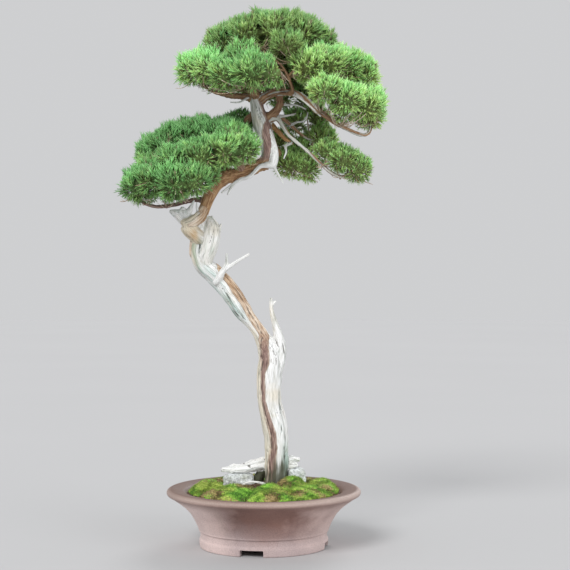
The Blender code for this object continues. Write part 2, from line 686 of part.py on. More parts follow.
def crosses(search, face, tip):
    """True if a spray over a face, made slightly wider, crosses what the search tree holds."""
    centre = face.calc_center_median()
    corners = [vert.co for vert in face.verts] + [tip]
    wider = [corner + (corner - centre).normalized() * SPRAY_CLEAR for corner in corners]
    return bool(BVHTree.FromPolygons(wider, [(0, 1, 3), (1, 2, 3), (2, 0, 3)]).overlap(search))


def turn_about(edge, face, tip):
    """The angle between a face and the way to the tip, seen along one of the face's edges."""
    foot = edge.verts[0].co
    along = (edge.verts[1].co - foot).normalized()
    inward = face.calc_center_median() - foot
    inward = (inward - inward.dot(along) * along).normalized()
    way = tip - foot
    way -= way.dot(along) * along
    return math.atan2(way.dot(face.normal), way.dot(inward))


def outside_angle(edge):
    """The open angle between an edge's two faces, on their outer side."""
    return math.pi + edge.calc_face_angle_signed(0.0)


def first_tips(bm, rows, wood, others, rng):
    """A spray tip over each face that is wide enough and free, leaning upwards and out of its tuft."""
    tips = {}
    for face in bm.faces:
        centre = face.calc_center_median()
        narrow = 2 * face.calc_area() / max(edge.calc_length() for edge in face.edges)
        walled = any(search.find_nearest(centre, 2 * HEAD_GAP)[0] is not None for search in (wood, others))
        if narrow < 2 * FACE_LEAST or walled:
            continue
        tuft = min(rows, key=lambda row: (Vector(row[:3]) - centre).length - row[3])
        outward = (centre - Vector(tuft[:3])).normalized()
        lean = Vector([rng.uniform(-SPRAY_LEAN, SPRAY_LEAN) for _ in range(3)])
        ahead = (face.normal + outward + Vector((0, 0, SPRAY_RISE)) + lean).normalized()
        tips[face] = centre + ahead * rng.uniform(*SPRAY_LENGTH)
    return tips


def shorten(face, tip):
    centre = face.calc_center_median()
    return centre + (tip - centre) * SPRAY_SHRINK


def part_neighbours(bm, tips):
    """Shortens sprays of neighbouring faces until they lean clear of each other."""
    for _ in range(4 * SPRAY_TRIES):
        crossing = False
        for edge in bm.edges:
            first, second = edge.link_faces
            used = turn_about(edge, first, tips[first]) if first in tips else 0.0
            used += turn_about(edge, second, tips[second]) if second in tips else 0.0
            if used > outside_angle(edge) - SPRAY_OPENING:
                crossing = True
                for face in (first, second):
                    if face in tips:
                        tips[face] = shorten(face, tips[face])
        if not crossing:
            return


def clear_of_rest(face, tip, own, wood, others):
    """True if a spray over a face meets no limb, no other head and no far side of its own head."""
    if crosses(wood, face, tip) or crosses(others, face, tip):
        return False
    height = (tip - face.calc_center_median()).dot(face.normal)
    return own.find_nearest(tip)[3] > 0.8 * height and own.ray_cast(tip, face.normal, 0.6 * height)[0] is None


def cuts(first, second):
    """True if two faces that touch or cross do more than share a corner or an edge."""
    shared = set(first.verts) & set(second.verts)
    if len(shared) != 1:
        return not shared
    for face, other in ((first, second), (second, first)):
        start, end = (vert.co for vert in face.verts if vert not in shared)
        corners = [vert.co for vert in other.verts]
        hit = geometry.intersect_ray_tri(*corners, end - start, start)
        if hit is not None and (hit - start).length < (end - start).length:
            return True
    return False


def untangle(bm, feet):
    """Lowers the sprays whose sides cut through another face, until none does."""
    for _ in range(4 * SPRAY_TRIES):
        bm.faces.ensure_lookup_table()
        search = BVHTree.FromBMesh(bm)
        tangled = set()
        for first, second in search.overlap(search):
            if first < second and cuts(bm.faces[first], bm.faces[second]):
                tangled.update((*bm.faces[first].verts, *bm.faces[second].verts))
        tangled &= set(feet)
        if not tangled:
            return
        for tip in tangled:
            tip.co = feet[tip] + (tip.co - feet[tip]) * SPRAY_SHRINK


def raise_sprays(core, rows, wood, others, rng):
    """Raises a three-sided spray from each face of a head's core."""
    own = tree_of([core])
    bm = bmesh.new()
    bm.from_mesh(core.data)
    bmesh.ops.scale(bm, vec=Vector((1, 1, 1)) / MM, verts=bm.verts)
    bmesh.ops.triangulate(bm, faces=bm.faces)
    bm.normal_update()
    tips = first_tips(bm, rows, wood, others, rng)
    for face in list(tips):
        for _ in range(SPRAY_TRIES):
            if clear_of_rest(face, tips[face], own, wood, others):
                break
            tips[face] = shorten(face, tips[face])
        else:
            del tips[face]
    part_neighbours(bm, tips)
    feet = {}
    for face, tip in tips.items():
        centre = face.calc_center_median()
        if (tip - centre).length > SPRAY_LEAST:
            point = bm.verts.new(tip)
            feet[point] = centre
            corners = list(face.verts)
            for start, end in zip(corners, corners[1:] + corners[:1], strict=True):
                bm.faces.new((start, end, point))
            bmesh.ops.delete(bm, geom=[face], context="FACES_ONLY")
    untangle(bm, feet)
    bmesh.ops.scale(bm, vec=Vector((1, 1, 1)) * MM, verts=bm.verts)
    bm.to_mesh(core.data)
    bm.free()


def make_foliage(material, tree):
    """Heads of short sprays that stand close together all over a smaller core."""
    cores = make_cores(material)
    rng = random.Random(SEED)
    wood = tree_of([tree])
    for name, rows in FOLIAGE.items():
        others = tree_of([core for head, core in cores.items() if head != name])
        raise_sprays(cores[name], rows, wood, others, rng)
    return list(cores.values())


def centre_on_box(objects):
    """Moves the model so that the frame's origin is the middle of its box, at the base."""
    corners = [obj.matrix_world @ vert.co for obj in objects for vert in obj.data.vertices]
    low = [min(corner[k] for corner in corners) for k in range(3)]
    high = [max(corner[k] for corner in corners) for k in range(3)]
    shift = Vector((-(low[0] + high[0]) / 2, -(low[1] + high[1]) / 2, -low[2]))
    for obj in objects:
        obj.data.transform(Matrix.Translation(shift))


def main():
    for obj in list(bpy.data.objects):
        bpy.data.objects.remove(obj)
    wood = finish("deadwood_and_bark", (0.72, 0.68, 0.62), 0.7)
    clay = finish("unglazed_clay", (0.27, 0.14, 0.12), 0.6)
    earth = finish("potting_soil", (0.10, 0.06, 0.035), 0.95)
    moss = finish("moss", (0.16, 0.30, 0.04), 0.9)
    stone = finish("stone", (0.45, 0.47, 0.46), 0.85)
    leaf = finish("juniper_foliage", (0.10, 0.24, 0.07), 0.6)
    plastic = finish("screen_plastic", (0.02, 0.02, 0.02), 0.6)
    tree = make_tree(wood)
    nodes = [tree, make_pot(clay), make_screen(plastic), make_soil(earth)]
    nodes += make_stones(stone) + make_moss(moss) + make_foliage(leaf, tree)
    centre_on_box(nodes)


main()
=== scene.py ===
"""The looks of an itoigawa juniper bonsai in its pot.

Lengths in the tables are millimetres, with x to the right, y away from the front and z up from the
surface that the pot stands on, measured from the pot's own axis.
"""

import json
import math

import bmesh
import bpy
import numpy as np
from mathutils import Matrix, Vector, noise

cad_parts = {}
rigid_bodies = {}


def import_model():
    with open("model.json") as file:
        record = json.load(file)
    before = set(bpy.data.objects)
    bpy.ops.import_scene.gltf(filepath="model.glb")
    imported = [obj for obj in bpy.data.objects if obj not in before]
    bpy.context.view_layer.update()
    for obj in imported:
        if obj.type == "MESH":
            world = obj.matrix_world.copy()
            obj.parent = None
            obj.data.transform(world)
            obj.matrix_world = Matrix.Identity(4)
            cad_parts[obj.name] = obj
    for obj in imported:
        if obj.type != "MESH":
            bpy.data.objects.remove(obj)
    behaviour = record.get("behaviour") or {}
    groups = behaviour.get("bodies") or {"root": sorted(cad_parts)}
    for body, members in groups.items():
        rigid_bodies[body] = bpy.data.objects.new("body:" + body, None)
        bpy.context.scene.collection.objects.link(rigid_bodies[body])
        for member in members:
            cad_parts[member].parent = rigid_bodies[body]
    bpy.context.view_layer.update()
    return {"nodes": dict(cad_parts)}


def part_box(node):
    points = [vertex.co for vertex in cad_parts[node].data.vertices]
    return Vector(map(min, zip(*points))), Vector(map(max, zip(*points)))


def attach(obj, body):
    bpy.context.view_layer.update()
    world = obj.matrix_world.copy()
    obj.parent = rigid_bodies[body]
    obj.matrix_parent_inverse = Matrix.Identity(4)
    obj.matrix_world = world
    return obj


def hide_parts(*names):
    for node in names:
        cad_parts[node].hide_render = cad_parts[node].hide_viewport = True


MM = 0.001
UP = np.array([0.0, 0.0, 1.0])
FRONT = np.array([0.0, -1.0, 0.0])

# Stations of the trunk's one long line: (x, y, z, radius).
TRUNK = [
    (14, 2, 48, 23), (15, 2, 62, 31), (16, 2, 78, 26), (18, 0, 96, 18.6), (19.5, 0, 112, 17.4),
    (20, 0, 128, 18), (20, 0, 146, 18.2), (19.5, -1, 168, 19), (16, -2, 193, 20), (10, -3, 219, 19),
    (8, -4, 247, 19), (9, -4, 270, 20), (10, -3, 291, 19), (3, -2, 315, 14.2), (-8, 0, 335, 11),
    (-18, 1, 349, 10.8), (-30, 2, 363, 13.4), (-46, 4, 386, 15), (-62, 6, 407, 15.6),
    (-78, 7, 423, 14.8), (-94, 8, 438, 15), (-100, 8, 456, 15.5), (-98, 6, 473, 16.5),
    (-99, 4, 489, 14), (-100, 2, 503, 10.5), (-96, 0, 518, 8.4), (-90, -2, 533, 8.2),
    (-84, -3, 548, 9.4), (-75, -4, 563, 10), (-64, -4, 574, 11.5), (-45, -2, 580, 9.5),
    (-26, 0, 586, 9), (-9, 2, 593, 9.5), (4, 2, 603, 11), (8, 1, 619, 12), (2.5, 0, 639, 13),
    (-4, -2, 659, 12.8), (-10, -3, 679, 10.4), (-13.5, -4, 698, 8.6), (-13.5, -4, 713, 8),
    (-9, -5, 729, 7.4), (-2, -6, 748, 6.4), (6, -6, 772, 4.5),
]
# The live veins of the trunk: (height, angle of the middle from the front towards the right, half
# width), in degrees. Between the veins the wood is dead and bleached.
FRONT_VEIN = [
    (60, -32, 34), (110, -30, 28), (130, -28, 27), (141, -25, 24), (154, -15, 20), (166, -16, 19),
    (179, -18, 19), (192, -22, 16), (205, -25, 15), (217, -26, 13), (228, -31, 13), (252, -30, 14),
    (269, -33, 14), (280, -31, 21), (296, -30, 29), (308, -24, 36), (320, -8, 37), (329, 22, 38),
    (342, 32, 46), (353, 33, 38), (364, 38, 31), (372, 48, 37), (401, 52, 38), (425, 54, 25),
    (433, 70, 26), (441, 130, 34), (448, 215, 36), (456, 258, 30), (468, 266, 30), (480, 272, 32),
    (492, 290, 38), (502, 315, 52), (512, 345, 100), (520, 360, 140), (548, 360, 150),
    (580, 350, 150), (596, 340, 120), (606, 378, 60), (619, 362, 48), (631, 369, 42), (642, 381, 40),
    (654, 402, 40), (663, 424, 27), (680, 450, 46), (704, 450, 80), (725, 400, 150), (772, 360, 179),
]
BACK_VEIN = [
    (60, 168, 40), (140, 176, 32), (235, 192, 26), (305, 200, 24), (374, 206, 28), (440, 210, 30),
    (500, 200, 50), (580, 190, 60), (660, 186, 44), (772, 180, 60),
]

# Dead wood that stands out of the trunk.
JINS = [
    [(12, -1, 250, 12), (17, -2, 274, 14.5), (22, -3, 292, 13.5), (25, -3, 308, 10.5),
     (23.5, -4, 325, 8.4), (18.5, -5, 343, 5.8), (14.5, -5, 357, 4.6), (12, -5, 369, 3.5),
     (11.5, -5, 380, 3.2), (11.2, -5, 387, 2.0)],
    [(12, -5, 375, 3.0), (16, -5, 379.5, 2.5), (19, -5, 382, 1.6)],
    [(-78, -6, 408, 3.2), (-71, -9, 416, 4.8), (-65, -11, 426, 5.4), (-60, -13, 435, 4.2),
     (-57.5, -14, 444, 3.1), (-57.5, -14, 456, 2.1)],
    [(-63, -11, 428, 4.6), (-51, -15, 437, 3.4), (-37, -17, 446, 2.9), (-22, -18, 455, 2.1)],
    [(-97, 0, 478, 13), (-108, -4, 487, 13), (-117, -8, 495, 12), (-122, -10, 501, 9.5)],
    [(-123, -10, 501, 8.6), (-114, -13, 504, 8.6), (-105, -10, 510, 8.6), (-98, -5, 518, 7.6),
     (-92, -3, 529, 6.6), (-88, -2, 540, 5)],
    [(-110, 0, 495, 10), (-123, -1, 507, 9.5), (-133, -2, 516.5, 8.8), (-140, -3, 520, 5.8),
     (-147, -3, 522.5, 2.5)],
    [(-112, -2, 496, 10), (-121, -3, 511, 9.5), (-126, -4, 520, 7), (-126, -4, 529, 3)],
    [(-110, -3, 496, 9), (-118, -5, 513, 6.8), (-114.5, -6, 526, 4.2), (-108.5, -7, 539, 1)],
    [(-101, -7, 517, 3.8), (-104, -8, 527, 2.2), (-104.5, -8, 536, 0.8)],
    [(-88, 6, 429, 5), (-91, 4, 438, 9.5), (-91, 2, 449, 12.5), (-86, 0, 466, 15),
     (-82, -1, 482, 15), (-80.5, -1, 496, 13), (-83, -1, 506, 8.5), (-86, -1, 514, 3.5)],
    [(-76, -2, 485, 7), (-70, -3, 495, 4.4), (-66, -3, 503, 1)],
    [(-80, -2, 499, 6.5), (-81, -3, 515, 1.1)],
    [(7, -8, 650, 2.6), (14, -8, 633, 3.8), (16.5, -7, 615, 6.4), (16, -8, 602, 6.8),
     (13, -9, 593, 6), (4, -11, 593, 4.4), (-6, -12, 591, 3.6), (-14, -12, 583, 3.3),
     (-24, -13, 574, 3.3), (-36, -13, 571, 3.1), (-47, -13, 564, 2.8), (-66, -13, 550, 1.5)],
    [(-45, -13, 565, 2.6), (-51, -14, 557, 2.2), (-56, -14, 547, 1.5)],
    [(15, -7, 594, 3.6), (22, -9, 580, 2.2), (31, -10, 564, 1)],
    [(43, 4, 629, 2.4), (34, 1, 624, 2.2), (35, -1, 615, 1.8), (31, -2, 604, 0.9)],
    [(46, -28, 702, 3.4), (60, -38, 691, 1.7), (73, -43, 679, 1.7), (88, -46, 665, 1.5)],
    [(24, -7, 688, 3), (38, -6, 687.5, 1.6), (52, -6, 687, 1.3), (66, -4, 681, 0.9)],
    [(20, 4, 672, 3.4), (34, 6, 672, 2), (50, 8, 676, 1)],
    [(42, 18, 659, 2.6), (52, 14, 663, 1.6), (61, 12, 664, 1.3), (67, 10, 670, 1.2), (69, 9, 678, 0.9)],
    [(-14, -6, 703, 3), (-27, -10, 697, 1.8), (-38, -12, 691, 1.3), (-52, -12, 691, 0.9)],
]

# Old dead roots over the stones, and one thin live root that loops out of the soil.
ROOTS = [
    [(16, 12, 134, 9), (-2, 13, 131, 8.5), (-20, 13, 126, 8), (-36, 12, 119.5, 7.5),
     (-52, 10, 117, 6.5), (-67, 9, 118, 4.6)],
    [(10, 8, 126, 8), (-8, 9, 122.5, 8), (-22, 9, 119, 7.5), (-36, 8, 117, 7), (-51, 8, 116, 5)],
    [(-34, 12, 120, 6), (-45, 11, 123, 5.6), (-54, 10, 121, 3)],
    [(20, 8, 130, 11), (34, 9, 132, 9), (45, 8, 134, 7.5), (56.5, 7, 133.5, 3)],
    [(22, 6, 121, 10), (36, 6, 123, 8), (46, 5, 124, 6.5), (53, 5, 125, 4)],
    # This root fills the dark hollow between the trunk and the left stone: painted shade.
    [(12, 14, 120, 11), (-2, 16, 112, 9.5), (-9, 15, 101, 9), (-12, 14, 84, 8)],
    [(14, -14, 90, 4), (6, -20, 96, 3), (-4, -24, 101, 2.3), (-14, -25, 103, 2), (-25, -26, 102, 1.9),
     (-34, -27, 97, 1.8), (-43, -28, 82, 1.5)],
]
ROOT_FLAT = 0.75

# Live branches. The last station of each lies inside the foliage that it carries.
BRANCHES = [
    [(-88, 0, 537, 6.5), (-105, 8, 541, 4), (-128, 10, 536, 3.4), (-150, 6, 531, 3.1),
     (-172, 0, 530, 2.8), (-190, -10, 537, 2.5), (-200, -20, 551, 2.2)],
    [(-66, -4, 573, 8), (-84, -16, 582, 6), (-108, -34, 583, 5), (-150, -40, 585, 3.4)],
    [(-60, -2, 577, 8), (-76, 10, 596, 6), (-103, 14, 613, 5), (-160, 18, 612, 3.2)],
    [(-32, 0, 585, 7), (-46, -24, 602, 4.6), (-62, -42, 611, 3)],
    [(-50, -1, 579, 7), (-62, 32, 592, 5.5), (-82, 82, 612, 3.4)],
    [(2, 0, 664, 8), (20, -6, 666, 4.4), (31, -10, 652, 3.4), (38, -13, 641, 3.1), (52, -15, 628, 3),
     (71, -16, 612, 3), (89, -15, 595, 2.9), (104, -13, 582, 2.7), (121, -10, 575, 2.4),
     (140, -8, 581, 1.9)],
    [(0, 2, 672, 7), (24, 10, 670, 4), (42, 20, 659, 3.6), (61, 32, 644, 2.8), (78, 48, 637, 2.4)],
    [(8, 2, 638, 8), (20, 24, 620, 4.6), (42, 44, 602, 3)],
    [(-9, -3, 694, 8), (14, -12, 706, 6.4), (36, -22, 705, 5.6), (50, -29, 702, 5), (64, -36, 694, 4.5),
     (82, -42, 677, 4.2), (102, -47, 660, 3.9), (126, -48, 646, 3.5), (149, -42, 637, 3.2),
     (162, -36, 641, 2.8), (166, -30, 657, 2.4)],
    [(-4, 0, 660, 8), (11, -4, 671, 6.6), (21, -7, 680, 5.6), (25.5, -8, 692, 5), (23, -8, 704, 4.8),
     (20, -6, 716, 4.6), (34, -8, 730, 4.4), (64, -14, 739, 4), (104, -30, 742, 3)],
    [(-13, -4, 698, 7.5), (-34, -5, 701, 5), (-62, -6, 704, 4.2), (-88, -8, 715, 3.6), (-106, -8, 734, 3)],
    [(-13, -6, 702, 6.5), (-18, -48, 704, 4.4), (-22, -82, 714, 3)],
    [(-11, -3, 712, 7), (-4, 48, 726, 5), (2, 96, 740, 3)],
    [(-9, -6, 729, 6), (-30, -10, 752, 4.6), (-56, -16, 776, 3)],
    [(-1, -6, 752, 5.6), (26, -8, 773, 4.6), (58, -12, 788, 3)],
    [(4, 4, 664, 6.5), (14, 8, 655, 4.4), (22, 9, 648, 3.8), (32, 7, 637, 3.2), (46, 4, 628, 1.6)],
    [(-8, 3, 678, 7), (-23, 12, 669, 5.2), (-36, 24, 654, 4.8), (-50, 36, 630, 3.6)],
    [(28, -12, 703, 3.6), (44, -36, 704, 2.8), (41, -52, 716, 2.5), (33, -60, 732, 2.3),
     (22, -64, 745, 2), (6, -62, 756, 1.7), (-8, -58, 774, 1.4)],
    [(38, -56, 724, 1.6), (46, -64, 734, 1.2), (48, -66, 748, 0.9)],
    [(33, -60, 732, 1.5), (24, -68, 734, 1.2), (14, -70, 744, 0.9)],
]
# How much dead wood shows on each branch, from none to all.
BRANCH_DEAD = [
    0.2, 0.0, 0.0, 0.1, 0.0, 0.7, 0.45, 0.0, 0.5, 0.15, 0.3, 0.1, 0.0, 0.0, 0.0, 0.15, 0.0, 0.1,
    0.0, 0.3,
]
# Where the crown opens at the front and shows its stems: (x, y, z) low, (x, y, z) high, half width.
CLEFT = ((45, -42, 700), (26, -60, 748), 7.5)

# Limbs are counted from the trunk, which is 0, through the dead wood and the roots to the branches.
FIRST_ROOT = 1 + len(JINS)
FIRST_BRANCH = FIRST_ROOT + len(ROOTS)
FORKED_PRONG = 1
# At the knot: the live callus roll with the stub that it starts from, the stubs on its left, and the
# lobe on its right with two spikes.
ROLL_FOOT = 5
ROLL = 6
LEFT_STUBS = (7, 8, 9)
RIGHT_LOBE = (11, 12, 13)
# The dark root behind the left stone, near black as painted shade in the hollow and as damp wood, the thin
# live root, and a branch of warm brown bark.
HOLLOW_SHADE_ROOT = FIRST_ROOT + 5
LIVE_ROOT = FIRST_BRANCH - 1
WARM_BRANCH = FIRST_BRANCH + 15
# Dark cracks in dead wood: (limb, where it starts as height and angle, where it ends, half width).
CRACKS = [
    (0, 350, -30, 404, -22, 1.1), (0, 354, -62, 380, -52, 1.6), (0, 176, 30, 192, 34, 1.0),
    (0, 128, 52, 160, 38, 1.5), (0, 212, 62, 250, 50, 0.8), (0, 448, -12, 476, 0, 1.8),
    (0, 656, 2, 690, -8, 0.8), (1, 296, 40, 320, 12, 1.2), (1, 268, 46, 300, 52, 0.9),
    (11, 468, -30, 502, -6, 0.7), (1, 306, -10, 326, -76, 1.2),
]

WOOD_CELL = 1.6
# Limbs thinner than this are drawn as plain tubes, not as part of the trunk's skin.
THIN = 2.4
THINNEST = 0.8
# Steps along a limb, for its shape and for its grain, and how many sides the tubes have.
SHAPE_STEP = 3.0
GRAIN_STEP = 2.0
TRUNK_SIDES = 40
LIMB_SIDES = 18
ROOT_SIDES = 20
THIN_SIDES = 7
THIN_ROOT_SIDES = 9
# Heights on the trunk between which a look fades in, and then between which it fades out.
WARM_BARK = (296, 362, 596, 606)
PALE_BARK = (372, 392, 440, 470)
PALE_KNOT = (440, 450, 486, 502)
GNARLED_WOOD = (556, 566, 590, 602)
TEAL_WOOD = (340, 360, 470, 482)

# Foliage: each head's tint, from blue green to yellow green, how light it is against the rest, and its
# tufts as (x, y, z, outer radius). The last three of the left lower head hang about a bare branch.
FOLIAGE = {
    "foliage_apex": (0.72, -0.35, [
        (-62, -20, 778, 40), (-25, -40, 792, 42), (18, -45, 798, 42), (60, -32, 794, 40),
        (86, -8, 780, 36), (-40, 15, 795, 40), (4, 5, 804, 42), (48, 6, 801, 42),
        (-15, 50, 792, 40), (30, 50, 794, 40), (68, 40, 785, 38), (36, -74, 768, 32),
    ]),
    "foliage_crown_left": (0.15, 0.45, [
        (-106, -5, 744, 38), (-80, -42, 740, 36), (-92, 32, 756, 38), (-58, 56, 756, 38),
    ]),
    "foliage_crown_front": (0.45, 0.0, [
        (-55, -66, 724, 36), (-18, -86, 728, 38), (13, -82, 725, 32), (-32, -66, 754, 30),
    ]),
    "foliage_crown_right": (0.62, 0.3, [
        (66, -60, 740, 36), (98, -50, 746, 38), (128, -20, 746, 38), (112, 22, 758, 38),
        (152, 8, 735, 38),
    ]),
    "foliage_crown_low_right": (0.62, 0.5, [
        (94, -84, 700, 32), (126, -72, 688, 34), (158, -46, 682, 36), (164, -8, 694, 34),
        (162, -26, 666, 29), (122, -56, 672, 26),
    ]),
    "foliage_crown_back": (0.5, 0.1, [
        (-75, 88, 742, 32), (-35, 94, 746, 38), (5, 100, 750, 40), (46, 94, 750, 40),
        (86, 80, 744, 38), (120, 58, 726, 36), (26, 80, 714, 32), (66, 72, 712, 32),
    ]),
    "foliage_left_upper": (-0.1, -0.5, [
        (-174, 10, 608, 38), (-150, -8, 624, 40), (-117, 0, 638, 42), (-80, 6, 640, 42),
        (-46, 12, 640, 38), (-150, 42, 614, 38), (-112, 48, 628, 40), (-72, 50, 632, 36),
    ]),
    "foliage_left_lower": (0.18, -0.25, [
        (-194, -26, 560, 36), (-168, -44, 568, 38), (-135, -62, 561, 38), (-106, -68, 565, 35),
        (-168, -18, 588, 34), (-132, -46, 596, 38), (-96, -52, 603, 38), (-86, -46, 574, 26),
        (-176, -16, 545, 17), (-150, -8, 545, 17), (-124, -24, 549, 16),
    ]),
    "foliage_left_inner": (0.4, 0.0, [
        (-60, -50, 612, 36), (-30, -42, 615, 33), (-44, -26, 634, 32),
    ]),
    "foliage_left_back": (0.2, 0.0, [
        (-124, 86, 600, 36), (-86, 94, 612, 38), (-50, 86, 630, 36), (-40, 64, 668, 32),
    ]),
    # This head lies in the crown's shade and is made lighter than the rest: painted light.
    "foliage_under": (0.9, 0.35, [
        (40, 46, 600, 32), (66, 40, 593, 30), (60, 64, 622, 34), (92, 56, 640, 32),
        (24, 64, 640, 26), (50, 74, 671, 28), (86, 78, 676, 28),
    ]),
    "foliage_right": (0.6, 0.0, [
        (98, -6, 614, 28), (122, -16, 602, 30), (146, -8, 588, 31), (128, 16, 604, 28),
    ]),
}
ALL_TUFTS = np.array([tuft for _, _, tufts in FOLIAGE.values() for tuft in tufts], dtype=float)
# A tuft is flatter than it is wide.
SQUASH = np.array([1.0, 1.0, 0.88])
# Shares of a tuft's radius: its dark core, which is painted shade inside the tuft, the seats of its sprays,
# and where it hides another's sprays.
CORE_SHARE = 0.47
SEAT_SHARE = 0.52
HIDDEN_SHARE = 0.84
CORE_CELL = 6.0
# What a tuft of the common radius holds. A small share of its sprays is dry and tan.
COMMON_RADIUS = 38
SPRAYS_A_TUFT = 590
CLUMPS_A_TUFT = 46
TWIGS_A_TUFT = 12
DRY_SHARE = 0.025
# Twigs grow from the limbs above this height.
TWIG_HEIGHT = 520
# How many kinds of spray there are, the side cords of each, and the points along a twig.
SPRAY_KINDS = 6
SIDE_CORDS = 5
TWIG_STEPS = 6

# The pot's turned outline.
FOOT_RADIUS = 100.0
FOOT_WIDTH = 15.0
FOOT_RECESS = 12.0
POT_FLOOR = 20.0
EDGE = 1.2
POT_OUTSIDE = [
    (100.8, 12.0), (98.6, 14.8), (99.2, 24.6), (101.6, 25.6), (101.8, 28.6),
    (107.5, 41.0), (114.5, 53.0), (124.0, 63.0), (135.0, 71.5), (145.0, 78.5),
]
POT_RIM = [(150.2, 81.0), (151.6, 84.0), (150.8, 88.0), (145.6, 90.5), (125.0, 87.6), (121.2, 85.0)]
POT_INSIDE = [(116.0, 78.0), (104.0, 54.0), (93.0, 33.0), (86.0, POT_FLOOR), (40.0, POT_FLOOR)]
CORNER_CUTS = (1.6, 0.6)
POT_SIDES = 112
SHARP_ANGLE = math.radians(34)
NOTCH_WIDTH = 36.0
NOTCH_HEIGHT = 10.5
NOTCH_TURN = math.radians(-10)
DRAIN_RADIUS = 13.0

SOIL_TOP = 84.0
SOIL_RISE = 12.5
SOIL_REACH = 119.0
MOSS_PIECES = [
    "moss_front_left", "moss_front", "moss_front_right", "moss_right", "moss_back", "moss_left_back",
    "moss_left", "moss_trunk_foot",
]
# Where the moss is dry and brown: (x, y, reach).
DRY_PATCHES = [(20, -36, 11), (38, -48, 12), (56, -58, 13), (-8, -34, 9), (52, 60, 20), (-84, -60, 10)]
MOSS_CELL = 2.1
MOSS_BLADES = 1900
CRUMBS = 650
CRUMB_REACH = 117.0
STONE_CELL = 1.1

# The camera's place in front of the pot, its lens, the floor's radius in metres and the light all round.
CAMERA_PLACE = np.array([33.0, -2147.0, 407.0])
CAMERA_LENS = 86.78
FLOOR_RADIUS = 14.0
STUDIO_LIGHT = (0.62, 0.625, 0.635, 1.0)
# Soft suns: (name, where they shine to, strength, softness in degrees, colour).
LIGHTS = [
    ("key", (0.5, 1.0, -0.82), 1.95, 24, (1.0, 1.0, 1.0)),
    ("fill", (-1.9, 1.7, -0.4), 1.3, 35, (0.96, 0.98, 1.0)),
    ("rim", (-0.7, -1.8, -1.3), 0.94, 29, (1.0, 1.0, 1.0)),
]


def smoothstep(value, low, high):
    t = np.clip((value - low) / (high - low), 0.0, 1.0)
    return t * t * (3 - 2 * t)


def band(value, low, full, fading, gone):
    """Fades in from low to full, and out again from fading to gone."""
    return smoothstep(value, low, full) * (1 - smoothstep(value, fading, gone))


def unit(vectors):
    return vectors / np.maximum(np.linalg.norm(vectors, axis=-1, keepdims=True), 1e-9)


def noise_at(points, seed=0.0):
    """Gradient noise at each point, between about -1 and 1."""
    return np.array([noise.noise((x + seed, y - seed, z + 3 * seed)) for x, y, z in points.tolist()])


def new_mesh(name, verts, faces):
    """A mesh from an array of points and an array of triangles."""
    mesh = bpy.data.meshes.new(name)
    faces = np.asarray(faces, dtype=np.int32)
    mesh.vertices.add(len(verts))
    mesh.vertices.foreach_set("co", np.ascontiguousarray(verts, dtype=np.float32).ravel())
    mesh.loops.add(faces.size)
    mesh.loops.foreach_set("vertex_index", faces.ravel())
    mesh.polygons.add(len(faces))
    mesh.polygons.foreach_set("loop_start", np.arange(0, faces.size, 3, dtype=np.int32))
    mesh.update(calc_edges=True)
    return mesh


def mesh_arrays(mesh):
    """Points, triangles and point normals of a mesh."""
    mesh.calc_loop_triangles()
    verts = np.empty(len(mesh.vertices) * 3, dtype=np.float32)
    mesh.vertices.foreach_get("co", verts)
    faces = np.empty(len(mesh.loop_triangles) * 3, dtype=np.int32)
    mesh.loop_triangles.foreach_get("vertices", faces)
    normals = np.empty(len(mesh.vertices) * 3, dtype=np.float32)
    mesh.vertices.foreach_get("normal", normals)
    return verts.reshape(-1, 3).astype(float), faces.reshape(-1, 3), normals.reshape(-1, 3).astype(float)


def linked(name, data):
    """A new object in the scene."""
    obj = bpy.data.objects.new(name, data)
    bpy.context.scene.collection.objects.link(obj)
    return obj


def ball_arrays(subdivisions):
    """Points and triangles of a unit ball."""
    bm = bmesh.new()
    bmesh.ops.create_icosphere(bm, subdivisions=subdivisions, radius=1.0)
    points = np.array([vert.co[:] for vert in bm.verts])
    sides = np.array([[vert.index for vert in face.verts] for face in bm.faces])
    bm.free()
    return points, sides


def modified(mesh, *settings):
    """Points, triangles and normals of a mesh after some modifiers, given as (kind, values)."""
    obj = linked("work", mesh)
    for kind, values in settings:
        modifier = obj.modifiers.new(kind.lower(), kind)
        for key, value in values.items():
            setattr(modifier, key, value)
    graph = bpy.context.evaluated_depsgraph_get()
    result = bpy.data.meshes.new_from_object(obj.evaluated_get(graph))
    arrays = mesh_arrays(result)
    bpy.data.objects.remove(obj)
    bpy.data.meshes.remove(result)
    return arrays


def skin(verts, faces, cell, rounds):
    """The even outer skin of closed shapes that may overlap, smoothed in some rounds."""
    return modified(
        new_mesh("skin", verts, faces),
        ("REMESH", {"mode": "VOXEL", "voxel_size": cell}),
        ("SMOOTH", {"factor": 0.5, "iterations": rounds}),
    )


def joined(parts):
    """Several (points, triangles) pairs as one."""
    verts = []
    faces = []
    start = 0
    for points, triangles in parts:
        verts.append(points)
        faces.append(np.asarray(triangles) + start)
        start += len(points)
    return np.concatenate(verts), np.concatenate(faces)


def add_piece(name, verts, faces, material, slot, nodes=(), smooth=True, attributes=None):
    """A visible piece in the row's frame, from millimetres about the pot's axis."""
    mesh = new_mesh(name, verts * MM + AXIS, faces)
    mesh.polygons.foreach_set("use_smooth", np.full(len(faces), smooth))
    for key, values in (attributes or {}).items():
        layer = mesh.attributes.new(key, "FLOAT_VECTOR", "POINT")
        layer.data.foreach_set("vector", np.ascontiguousarray(values, dtype=np.float32).ravel())
    mesh.materials.append(material)
    obj = linked(name, mesh)
    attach(obj, "root")
    if nodes:
        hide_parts(*nodes)
    return obj


def cad_arrays(node):
    """Points and triangles of a CAD node, in millimetres about the pot's axis."""
    mesh = frame["nodes"][node].data.copy()
    bm = bmesh.new()
    bm.from_mesh(mesh)
    bmesh.ops.remove_doubles(bm, verts=bm.verts, dist=1e-5)
    bm.to_mesh(mesh)
    bm.free()
    verts, faces, _ = mesh_arrays(mesh)
    return (verts - AXIS) / MM, faces


